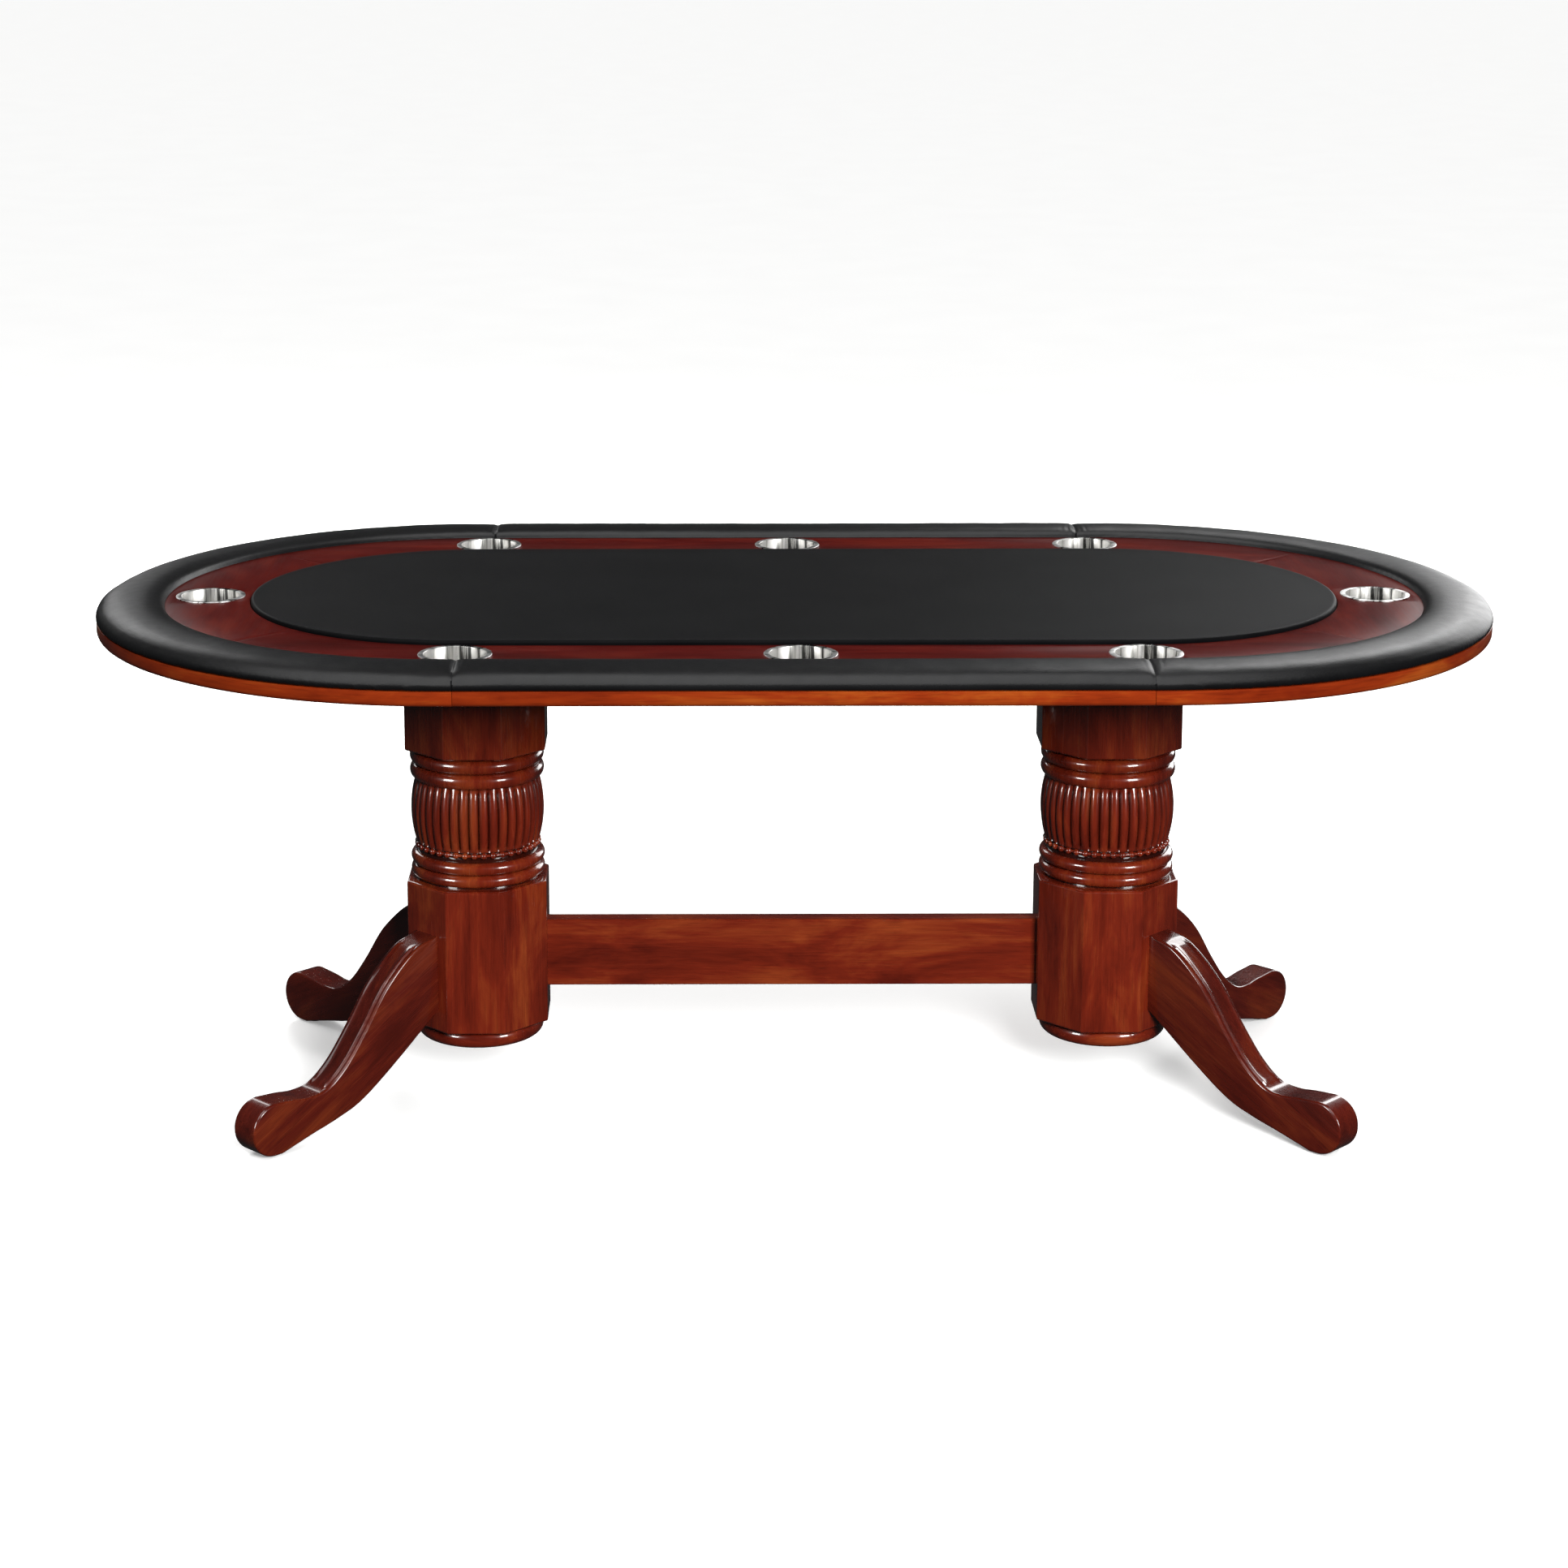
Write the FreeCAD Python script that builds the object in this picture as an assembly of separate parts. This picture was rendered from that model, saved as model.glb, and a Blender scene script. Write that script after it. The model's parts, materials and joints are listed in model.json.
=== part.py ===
"""Oval card table on two turned pedestals.

Millimetres. +X runs along the table, +Z is up, and the origin is on the floor under its centre.
The top is a deck board that carries a wooden racetrack with eight drop-in cups, a covered playing
panel, an apron round the edge and a padded arm rail in four lengths. Each pedestal is a stack of
blocks and turnings on a tie rod, with two scroll legs, and a stretcher joins the pair.
"""
import FreeCAD, Part
import math
import os

V = FreeCAD.Vector
os.makedirs("parts", exist_ok=True)

# Whole table
table_length = 2134.0
table_width = 1118.0
table_height = 800.0            # floor to the crown of the arm rail

# Table top, in layers
rail_width = 108.0
rail_crown = 13.0               # crown of the rail above the racetrack
rail_outer_round = 19.0
rail_inner_round = 10.0
rail_seam_setback = 23.0        # cross seams of the rail cover, from the start of each round end
racetrack_thickness = 19.0
racetrack_tuck = 3.0            # racetrack hidden under the rail
deck_thickness = 18.0
apron_height = 22.0
apron_thickness = 20.0
apron_inset = 4.0
apron_round = 6.0
core_thickness = 16.0           # plywood core of the rail
core_inset = 16.0
track_side_margin = 10.0        # racetrack width beyond the cups, along the sides
track_end_margin = 22.0         # and at the ends
play_rise = 6.0                 # playing surface above the racetrack
play_round = 5.0
play_board_thickness = 12.0
play_board_inset = 2.0
soft_gap = 0.4                  # between a soft piece and what it lies on
fit_gap = 1.5                   # round a drop-in piece

# Cups
cup_setback = 16.0              # corner cups from the start of each round end
cup_inner_radius = 45.0
cup_wall = 1.0
cup_depth = 66.0
cup_flange_width = 7.0
cup_rim_height = 1.6
cup_hole_gap = 1.0
cup_corner_round = 9.0
cup_clearance = 6.0             # from a cup hole to the square opening in the deck under it

# Pedestals
pedestal_spacing = 980.0
block_width = 216.0             # across the flats of the octagon
block_round = 4.0
ground_gap = 88.0               # floor to the base cap
base_cap_height = 28.0
base_cap_inset = 9.0            # inside the flats of the block
lower_block_height = 229.0
column_neck = 96.0              # radius between the turned bands
bead_radius = 104.0
bead_heights = (10.0, 10.0, 12.0, 11.0)  # half heights: two beads under the bulb, two above it
pearl_groove_height = 11.5
pearl_groove_gap = 4.5          # between the groove and the bead under it
bulb_height = 100.0
bulb_radius = 103.2
reed_count = 40
reed_groove_width = 6.5
reed_groove_depth = 3.6
pearl_radius = 5.2
pearl_seat = 91.0               # radius of the groove floor
collar_height = 3.0
rod_radius = 5.0
rod_bore_gap = 1.0
washer_radius = 12.0
washer_thickness = 2.0
nut_across = 17.0
nut_height = 8.0
nut_recess = 15.0               # depth of the recess for a nut and washer
nut_recess_gap = 3.0
plate_side = 320.0
plate_thickness = 25.0

# Legs
leg_thickness = 50.0
leg_reach = 468.0               # pedestal axis to the tip of the toe
leg_root_top = 270.0
leg_root_bottom = 150.0
foot_height = 84.0
leg_edge_round = 3.0
band_width = 34.0               # raised band along the top of the leg
band_height = 3.0
glide_radius = 12.0
glide_show = 3.0                # glide standing out under the foot
glide_stem = 18.0
dowel_radius = 5.0
dowel_length = 90.0

# Stretcher and battens
stretcher_height = 107.0
stretcher_thickness = 32.0
stretcher_bottom = 165.0
tenon_length = 40.0
tenon_shoulder = 8.0
batten_length = 1500.0
batten_width = 70.0
batten_y = 215.0
screw_radius = 2.5
screw_head_radius = 5.0
screw_gap = 0.1

# Heights that follow
racetrack_top = table_height - rail_crown
deck_top = racetrack_top - racetrack_thickness
deck_bottom = deck_top - deck_thickness
apron_top = deck_bottom + apron_height
core_top = deck_top + core_thickness
play_top = racetrack_top + play_rise
play_board_top = deck_top + play_board_thickness
plate_bottom = deck_bottom - plate_thickness
lower_block_bottom = ground_gap + base_cap_height
column_bottom = lower_block_bottom + lower_block_height

half_length = table_length / 2
half_width = table_width / 2
arc_x = half_length - half_width          # centre of each round end
rail_seam_x = arc_x - rail_seam_setback
cup_flange_radius = cup_inner_radius + cup_wall + cup_flange_width
play_length = table_length - 2 * (rail_width + 2 * cup_flange_radius + track_end_margin)
play_width = table_width - 2 * (rail_width + 2 * cup_flange_radius + track_side_margin)
cup_row_x = arc_x - cup_setback
cup_row_y = (play_width / 2 + half_width - rail_width) / 2
cup_end_x = (play_length / 2 + half_length - rail_width) / 2
cup_hole_radius = cup_inner_radius + cup_wall + cup_hole_gap
pedestal_x = pedestal_spacing / 2
apothem = block_width / 2
base_cap_radius = apothem - base_cap_inset
SIDES = {"left": -1, "right": 1}
CUPS = {
    "front_left": (-cup_row_x, -cup_row_y),
    "front_centre": (0.0, -cup_row_y),
    "front_right": (cup_row_x, -cup_row_y),
    "back_left": (-cup_row_x, cup_row_y),
    "back_centre": (0.0, cup_row_y),
    "back_right": (cup_row_x, cup_row_y),
    "end_left": (-cup_end_x, 0.0),
    "end_right": (cup_end_x, 0.0),
}


def save(name, shape):
    """Write one piece as a STEP file."""
    shape.exportStep("parts/" + name + ".step")
    print(name, "solids", len(shape.Solids), "valid", shape.isValid(), "volume", round(shape.Volume))


def rounded_wire(corners, place):
    """Closed wire of straight runs with tangent arcs. A corner is (a, b, radius)."""
    count = len(corners)
    starts = []
    ends = []
    mids = []
    for i, (a, b, radius) in enumerate(corners):
        corner = V(a, b, 0)
        before = (V(*corners[i - 1][:2], 0) - corner).normalize()
        after = (V(*corners[(i + 1) % count][:2], 0) - corner).normalize()
        half = before.getAngle(after) / 2
        reach = radius / math.tan(half)
        starts.append(corner + before * reach)
        ends.append(corner + after * reach)
        middle = (before + after).normalize()
        mids.append(corner + middle * (radius / math.sin(half) - radius))
    edges = []
    for i in range(count):
        if corners[i][2] > 0:
            arc = Part.Arc(place(starts[i]), place(mids[i]), place(ends[i]))
            edges.append(arc.toShape())
        following = starts[(i + 1) % count]
        if (following - ends[i]).Length > 1e-6:
            edges.append(Part.LineSegment(place(ends[i]), place(following)).toShape())
    return Part.Wire(edges)


def oval(reach_x, reach_y, bottom, top):
    """Slab with two straight sides and two half-round ends."""
    run = reach_x - reach_y
    ends = [(-run, -reach_y), (run, -reach_y), (run, reach_y), (-run, reach_y)]
    corners = [V(x, y, bottom) for x, y in ends]
    wire = Part.Wire([
        Part.LineSegment(corners[0], corners[1]).toShape(),
        Part.Arc(corners[1], V(reach_x, 0, bottom), corners[2]).toShape(),
        Part.LineSegment(corners[2], corners[3]).toShape(),
        Part.Arc(corners[3], V(-reach_x, 0, bottom), corners[0]).toShape(),
    ])
    return Part.Face(wire).extrude(V(0, 0, top - bottom))


def oval_inset(inset, bottom, top):
    return oval(half_length - inset, half_width - inset, bottom, top)


def cylinder(radius, bottom, top, x=0.0, y=0.0):
    return Part.makeCylinder(radius, top - bottom, V(x, y, bottom))


def cut_all(shape, tools):
    return shape.cut(Part.makeCompound(tools)) if tools else shape


def turned(corners, x=0.0):
    """Solid of revolution about a pedestal's axis. A corner is (radius, height, rounding)."""
    wire = rounded_wire(corners, lambda p: V(p.x, 0, p.y))
    solid = Part.Face(wire).revolve(V(0, 0, 0), V(0, 0, 1), 360)
    solid.translate(V(x, 0, 0))
    return solid


def edge_band(corners, part):
    """Length of a band round the table's edge. A corner is (inset, height, rounding)."""
    def face_at(x, side):
        return Part.Face(rounded_wire(corners, lambda p: V(x, side * (half_width - p.x), p.y)))

    if part in ("front", "back"):
        side = -1 if part == "front" else 1
        return face_at(-rail_seam_x, side).extrude(V(2 * rail_seam_x, 0, 0))
    side = SIDES[part]
    turn = face_at(side * arc_x, -1).revolve(V(side * arc_x, 0, 0), V(0, 0, side), 180)
    run = V(side * (arc_x - rail_seam_x), 0, 0)
    straights = [face_at(side * rail_seam_x, row).extrude(run) for row in (-1, 1)]
    return turn.fuse(straights).removeSplitter()


def screw(x, y, bottom, length):
    """Countersunk screw driven upwards, its head flush at the bottom."""
    shank = cylinder(screw_radius, bottom, bottom + length, x, y)
    head = Part.makeCone(screw_head_radius, screw_radius, screw_head_radius - screw_radius, V(x, y, bottom))
    return shank.fuse(head).removeSplitter()


def screw_hole(x, y, bottom, length):
    """Hole for a screw, a little wider than it all over."""
    depth = screw_head_radius - screw_radius
    shank = cylinder(screw_radius + screw_gap, bottom - screw_gap, bottom + length + screw_gap, x, y)
    head = Part.makeCone(screw_head_radius + screw_gap, screw_radius + screw_gap, depth, V(x, y, bottom))
    below = cylinder(screw_head_radius + screw_gap, bottom - screw_gap, bottom, x, y)
    return shank.fuse([head, below])


# Screw places: rail, playing panel and pedestal plates
screw_inset = (core_inset + rail_width) / 2
rail_screw_length = deck_thickness + core_thickness - 4
play_screw_length = deck_thickness + play_board_thickness - 4
plate_screw_length = plate_thickness + deck_thickness - 4


def rail_screw_places():
    places = []
    for x in (-0.8, -0.27, 0.27, 0.8):
        for side in (-1, 1):
            places.append((x * rail_seam_x, side * (half_width - screw_inset)))
    radius = half_width - screw_inset
    for side in (-1, 1):
        for turn in (-60, 0, 60):
            angle = math.radians(turn)
            places.append((side * (arc_x + radius * math.cos(angle)), radius * math.sin(angle)))
    return places


def play_screw_places():
    return [(x * play_length * 0.4, y * play_width * 0.42) for x in (-1, 0, 1) for y in (-1, 1)]


def plate_screw_places(side):
    reach = plate_side / 2 - 20
    ring = [(-1, -1), (-1, 0), (-1, 1), (0, 1), (1, 1), (1, 0), (1, -1), (0, -1)]
    return [(side * pedestal_x + x * reach, y * reach) for x, y in ring]


# Table top

def make_deck():
    deck = oval_inset(apron_inset + apron_thickness, deck_bottom, deck_top)
    reach = cup_hole_radius + cup_clearance
    holes = [Part.makeBox(2 * reach, 2 * reach, deck_thickness, V(x - reach, y - reach, deck_bottom))
             for x, y in CUPS.values()]
    holes += [screw_hole(x, y, deck_bottom, rail_screw_length) for x, y in rail_screw_places()]
    holes += [screw_hole(x, y, deck_bottom, play_screw_length) for x, y in play_screw_places()]
    for side in SIDES.values():
        holes += [screw_hole(x, y, plate_bottom, plate_screw_length) for x, y in plate_screw_places(side)]
    save("deck_board", cut_all(deck, holes))


def make_racetrack():
    """Four boards, mitred across each round end at 45 degrees."""
    outer = oval_inset(rail_width - racetrack_tuck, deck_top, racetrack_top)
    inner = oval(play_length / 2 + fit_gap, play_width / 2 + fit_gap, deck_top - 1, racetrack_top + 1)
    holes = [cylinder(cup_hole_radius, deck_top - 1, racetrack_top + 1, x, y) for x, y in CUPS.values()]
    ring = cut_all(outer, [inner] + holes)
    wedges = []
    for name, side in SIDES.items():
        corner = V(side * arc_x, 0, deck_top)
        far = side * table_length
        points = [corner] + [V(side * arc_x + far, row * table_length, deck_top) for row in (-1, 1)]
        wedge = Part.Face(Part.makePolygon(points + [corner])).extrude(V(0, 0, racetrack_thickness))
        save("racetrack_" + name, ring.common(wedge))
        wedges.append(wedge)
    sides = cut_all(ring, wedges)
    for name, start in (("front", -half_width), ("back", 0)):
        half = Part.makeBox(table_length, half_width, racetrack_thickness, V(-half_length, start, deck_top))
        save("racetrack_" + name, sides.common(half))


def make_apron():
    bottom, top = deck_bottom, apron_top
    outer = apron_inset
    inner = apron_inset + apron_thickness
    corners = [(outer, bottom, apron_round), (outer, top, 1.0), (inner, top, 0), (inner, bottom, 0)]
    for part in ("front", "back", "left", "right"):
        save("apron_" + part, edge_band(corners, part))


def make_rail():
    """Plywood cores, each under its length of padded cover."""
    inner = rail_width - racetrack_tuck - 1.0
    outer = apron_inset + apron_thickness
    core = [(outer, deck_top, 0), (outer, apron_top + 1, 0), (core_inset, apron_top + 1, 0),
            (core_inset, core_top, 2.0), (inner, core_top, 2.0), (inner, deck_top, 0)]
    under_core = core_top + soft_gap
    over_track = racetrack_top + soft_gap
    pad = [(0, apron_top + soft_gap, 2.0), (0, table_height, rail_outer_round),
           (rail_width, table_height, rail_inner_round), (rail_width, over_track, 1.0),
           (inner - 1, over_track, 0), (inner - 1, under_core, 0),
           (core_inset - soft_gap, under_core, 0), (core_inset - soft_gap, apron_top + soft_gap, 0)]
    holes = [screw_hole(x, y, deck_bottom, rail_screw_length) for x, y in rail_screw_places()]
    for part in ("front", "back", "left", "right"):
        save("rail_core_" + part, cut_all(edge_band(core, part), holes))
        save("rail_pad_" + part, edge_band(pad, part))


def make_playing_panel():
    reach_x = play_length / 2
    reach_y = play_width / 2
    board = oval(reach_x - play_board_inset, reach_y - play_board_inset, deck_top, play_board_top)
    holes = [screw_hole(x, y, deck_bottom, play_screw_length) for x, y in play_screw_places()]
    save("playing_board", cut_all(board, holes))
    pad = oval(reach_x, reach_y, play_board_top + soft_gap, play_top)
    rim = [edge for edge in pad.Edges if min(v.Z for v in edge.Vertexes) > play_top - 0.01]
    save("playing_pad", pad.makeFillet(play_round, rim))


def make_cups():
    """Pressed cups: a wide flange with a rolled rim, a straight wall and a round bottom corner."""
    inner = cup_inner_radius
    outer = inner + cup_wall
    flange = cup_flange_radius
    seat = racetrack_top
    floor = seat + cup_rim_height - cup_depth
    skin = cup_wall
    corners = [(0, floor, 0), (outer, floor, cup_corner_round), (outer, seat, 0), (flange, seat, 0.5),
               (flange, seat + cup_rim_height, 0.7), (inner, seat + cup_rim_height, 0.7),
               (inner, floor + skin, cup_corner_round - skin), (0, floor + skin, 0)]
    for name, (x, y) in CUPS.items():
        cup = turned(corners)
        cup.translate(V(x, y, 0))
        save("cup_" + name, cup)


# Pedestals

def octagon(width, bottom, top, x):
    """Octagonal block with one flat facing the front."""
    radius = width / 2 / math.cos(math.pi / 8)
    points = [V(x + radius * math.cos(math.radians(22.5 + 45 * k)),
                radius * math.sin(math.radians(22.5 + 45 * k)), bottom) for k in range(8)]
    return Part.Face(Part.makePolygon(points + [points[0]])).extrude(V(0, 0, top - bottom))


def round_ends(block, bottom, top):
    """Round the edges round the ends of a block that stand free."""
    rims = [edge for edge in block.Edges
            if any(all(abs(v.Z - level) < 0.01 for v in edge.Vertexes) for level in (bottom, top))]
    return block.makeFillet(block_round, rims)


def rod_bore(x):
    return cylinder(rod_radius + rod_bore_gap, 0, table_height, x)


def bead_levels():
    """Centre heights of the four beads, and the bottom and top of the pearl groove and the bulb."""
    first, second, third, fourth = bead_heights
    low = column_bottom + collar_height + first
    middle = low + first + second
    groove = middle + second + pearl_groove_gap
    bulb = groove + pearl_groove_height
    high = bulb + bulb_height + third
    return (low, middle, high, high + third + fourth), groove, bulb


def column_top():
    return bead_levels()[0][3] + bead_heights[3] + collar_height


def bead(level, half_height):
    """Half-round band round the neck."""
    depth = bead_radius - column_neck + 4.0
    corners = [(0, level - half_height, 0), (column_neck, level - half_height, 0),
               (column_neck, level + half_height, 0), (0, level + half_height, 0)]
    belt = turned(corners)
    start = V(bead_radius - depth, 0, level - half_height)
    arc = Part.Arc(start, V(bead_radius, 0, level), V(bead_radius - depth, 0, level + half_height))
    chord = Part.LineSegment(arc.EndPoint, start)
    lobe = Part.Face(Part.Wire([arc.toShape(), chord.toShape()])).revolve(V(0, 0, 0), V(0, 0, 1), 360)
    return belt.fuse(lobe)


def reed_grooves(bulb, arc_radius):
    """V grooves that follow the bulb's bulge and part it into reeds."""
    middle = bulb + bulb_height / 2
    centre = V(bulb_radius - arc_radius, 0, middle)
    sweep = math.degrees(math.asin(bulb_height / 2 / arc_radius)) - 1.2
    tip = bulb_radius - reed_groove_depth
    out = bulb_radius + 1.0
    side = reed_groove_width / 2
    points = [V(tip, 0, middle), V(out, -side, middle), V(out, side, middle)]
    tool = Part.Face(Part.makePolygon(points + [points[0]])).revolve(centre, V(0, 1, 0), 2 * sweep)
    tool.rotate(centre, V(0, 1, 0), -sweep)
    tools = []
    for k in range(reed_count):
        copy = tool.copy()
        copy.rotate(V(0, 0, 0), V(0, 0, 1), 360.0 * (k + 0.5) / reed_count)
        tools.append(copy)
    return tools


def make_column():
    levels, groove, bulb = bead_levels()
    top = column_top()
    neck = column_neck - 2.0
    sag = bulb_radius - column_neck
    arc_radius = ((bulb_height / 2) ** 2 + sag ** 2) / (2 * sag)
    arc = Part.Arc(V(column_neck, 0, bulb), V(bulb_radius, 0, bulb + bulb_height / 2),
                   V(column_neck, 0, bulb + bulb_height))
    outline = [(column_neck, bulb + bulb_height), (neck, bulb + bulb_height), (neck, top), (0, top),
               (0, column_bottom), (neck, column_bottom), (neck, groove), (pearl_seat, groove),
               (pearl_seat, bulb), (column_neck, bulb)]
    corners = [V(radius, 0, height) for radius, height in outline]
    edges = [Part.LineSegment(a, b).toShape() for a, b in zip(corners, corners[1:])]
    core = Part.Face(Part.Wire([arc.toShape()] + edges)).revolve(V(0, 0, 0), V(0, 0, 1), 360)
    beads = [bead(level, half) for level, half in zip(levels, bead_heights)]
    column = cut_all(core.fuse(beads).removeSplitter(), reed_grooves(bulb, arc_radius) + [rod_bore(0)])
    for name, side in SIDES.items():
        copy = column.copy()
        copy.translate(V(side * pedestal_x, 0, 0))
        save("column_" + name, copy)


def make_pearls():
    """Beaded moulding let into the groove under the bulb."""
    _, groove, bulb = bead_levels()
    middle = (groove + bulb) / 2
    low = middle - pearl_radius + 1.0
    high = middle + pearl_radius - 1.0
    band = cylinder(pearl_seat + 3.0, low, high).cut(cylinder(pearl_seat, low - 1, high + 1))
    pearls = []
    for k in range(reed_count):
        angle = math.radians(360.0 * k / reed_count)
        reach = pearl_seat + 2.3
        ball = Part.makeSphere(pearl_radius, V(reach * math.cos(angle), reach * math.sin(angle), middle))
        pearls.append(ball)
    ring = band.fuse(pearls).cut(cylinder(pearl_seat, groove - 1, bulb + 1))
    for name, side in SIDES.items():
        copy = ring.copy()
        copy.translate(V(side * pedestal_x, 0, 0))
        save("pearl_ring_" + name, copy)


def leg_turn(side, row):
    """Angle of a leg seen from above: outwards and to the front or back."""
    return math.degrees(math.atan2(row, side))


def dowel(radius, spare, side, row, level):
    """Dowel screw along a leg, half in the leg and half in the block."""
    shape = Part.makeCylinder(radius, dowel_length + 2 * spare,
                              V(apothem - dowel_length / 2 - spare, 0, level), V(1, 0, 0))
    shape.rotate(V(0, 0, 0), V(0, 0, 1), leg_turn(side, row))
    shape.translate(V(side * pedestal_x, 0, 0))
    return shape


def dowel_levels():
    root = leg_root_top - leg_root_bottom
    return (leg_root_bottom + 0.3 * root, leg_root_bottom + 0.7 * root)


def stretcher_board(spare=0.0):
    """Board on edge with a tenon at each end."""
    shoulder = pedestal_x - apothem
    board = Part.makeBox(2 * shoulder, stretcher_thickness, stretcher_height,
                         V(-shoulder, -stretcher_thickness / 2, stretcher_bottom))
    reach = shoulder + tenon_length + spare
    half = stretcher_thickness / 2 - tenon_shoulder + spare
    tall = stretcher_height - 2 * tenon_shoulder + 2 * spare
    start = V(-reach, -half, stretcher_bottom + tenon_shoulder - spare)
    return board, Part.makeBox(2 * reach, 2 * half, tall, start)


def make_stretcher():
    board, tenon = stretcher_board()
    lines = [edge for edge in board.Edges if edge.Length > stretcher_height * 2]
    save("stretcher", board.makeFillet(2.0, lines).fuse(tenon).removeSplitter())


def make_blocks():
    tenon_hole = stretcher_board(spare=0.2)[1]
    for name, side in SIDES.items():
        x = side * pedestal_x
        plate = Part.makeBox(plate_side, plate_side, plate_thickness,
                             V(x - plate_side / 2, -plate_side / 2, plate_bottom))
        recess = cylinder(washer_radius + nut_recess_gap, deck_bottom - nut_recess, deck_bottom + 1, x)
        sinks = [recess, rod_bore(x)]
        sinks += [screw_hole(a, b, plate_bottom, plate_screw_length) for a, b in plate_screw_places(side)]
        save("top_plate_" + name, cut_all(plate, sinks))

        upper = octagon(block_width, column_top(), plate_bottom, x)
        save("upper_block_" + name, round_ends(upper, column_top(), plate_bottom + 1).cut(rod_bore(x)))

        lower = octagon(block_width, lower_block_bottom, column_bottom, x)
        holes = [rod_bore(x), tenon_hole]
        holes += [dowel(dowel_radius + screw_gap, screw_gap, side, row, level)
                  for row in (-1, 1) for level in dowel_levels()]
        save("lower_block_" + name, cut_all(round_ends(lower, lower_block_bottom, column_bottom), holes))

        nose = base_cap_height / 2 - 0.5
        cap = turned([(0, ground_gap, 0), (base_cap_radius, ground_gap, nose),
                      (base_cap_radius, lower_block_bottom, nose), (0, lower_block_bottom, 0)], x)
        recess = cylinder(washer_radius + nut_recess_gap, 0, ground_gap + nut_recess, x)
        save("base_cap_" + name, cut_all(cap, [recess, rod_bore(x)]))


def hex_nut(x, bottom):
    radius = nut_across / 2 / math.cos(math.pi / 6)
    points = [V(x + radius * math.cos(math.radians(60 * k)), radius * math.sin(math.radians(60 * k)), bottom)
              for k in range(6)]
    nut = Part.Face(Part.makePolygon(points + [points[0]])).extrude(V(0, 0, nut_height))
    return nut.cut(cylinder(rod_radius + screw_gap, bottom - 1, bottom + nut_height + 1, x))


def washer(x, bottom):
    disc = cylinder(washer_radius, bottom, bottom + washer_thickness, x)
    return disc.cut(cylinder(rod_radius + screw_gap, bottom - 1, bottom + washer_thickness + 1, x))


def make_rods():
    low_seat = ground_gap + nut_recess
    high_seat = deck_bottom - nut_recess
    nuts = []
    for name, side in SIDES.items():
        x = side * pedestal_x
        spare = nut_recess - 2
        save("tie_rod_" + name, cylinder(rod_radius, low_seat - spare, high_seat + spare, x))
        nuts += [washer(x, low_seat - washer_thickness), hex_nut(x, low_seat - washer_thickness - nut_height)]
        nuts += [washer(x, high_seat), hex_nut(x, high_seat + washer_thickness)]
    save("tie_rod_nuts", Part.makeCompound(nuts))


# Legs

def leg_profile(lift):
    """Side view of a leg in its own plane. Lift moves the outline out along the slope of its back."""
    span = leg_reach - apothem
    toe = (foot_height - glide_show) / 2
    toe_x = leg_reach - toe
    rise = leg_root_top - foot_height

    def at(share, height):
        return V(apothem + share * span + lift, 0, height + lift)

    back = [(0.0, leg_root_top), (0.13, foot_height + 0.93 * rise), (0.28, foot_height + 0.69 * rise),
            (0.405, foot_height + 0.37 * rise), (0.51, foot_height + 0.13 * rise), (0.61, foot_height - 2),
            (0.70, foot_height - 7)]
    under = [(0.85, glide_show), (0.70, glide_show + 14), (0.56, glide_show + 26), (0.43, glide_show + 42),
             (0.26, glide_show + 80), (0.0, leg_root_bottom)]
    top = Part.BSplineCurve()
    toe_top = V(toe_x + lift, 0, foot_height + lift)
    toe_bottom = V(toe_x + lift, 0, glide_show + lift)
    knots = [at(*point) for point in back] + [toe_top]
    top.interpolate(knots, InitialTangent=V(1, 0, -0.12), FinalTangent=V(1, 0, 0))
    nose = Part.Arc(toe_top, V(leg_reach + lift, 0, toe + glide_show + lift), toe_bottom)
    low = Part.BSplineCurve()
    low.interpolate([at(*point) for point in under], InitialTangent=V(-1, 0, 0), FinalTangent=V(-1, 0, 0.8))
    flat = Part.LineSegment(toe_bottom, at(*under[0]))
    root = Part.LineSegment(at(*under[-1]), at(*back[0]))
    return Part.Wire([top.toShape(), nose.toShape(), flat.toShape(), low.toShape(), root.toShape()])


def leg_solid(lift, width):
    face = Part.Face(leg_profile(lift))
    face.translate(V(0, -width / 2, 0))
    return face.extrude(V(0, width, 0))


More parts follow.
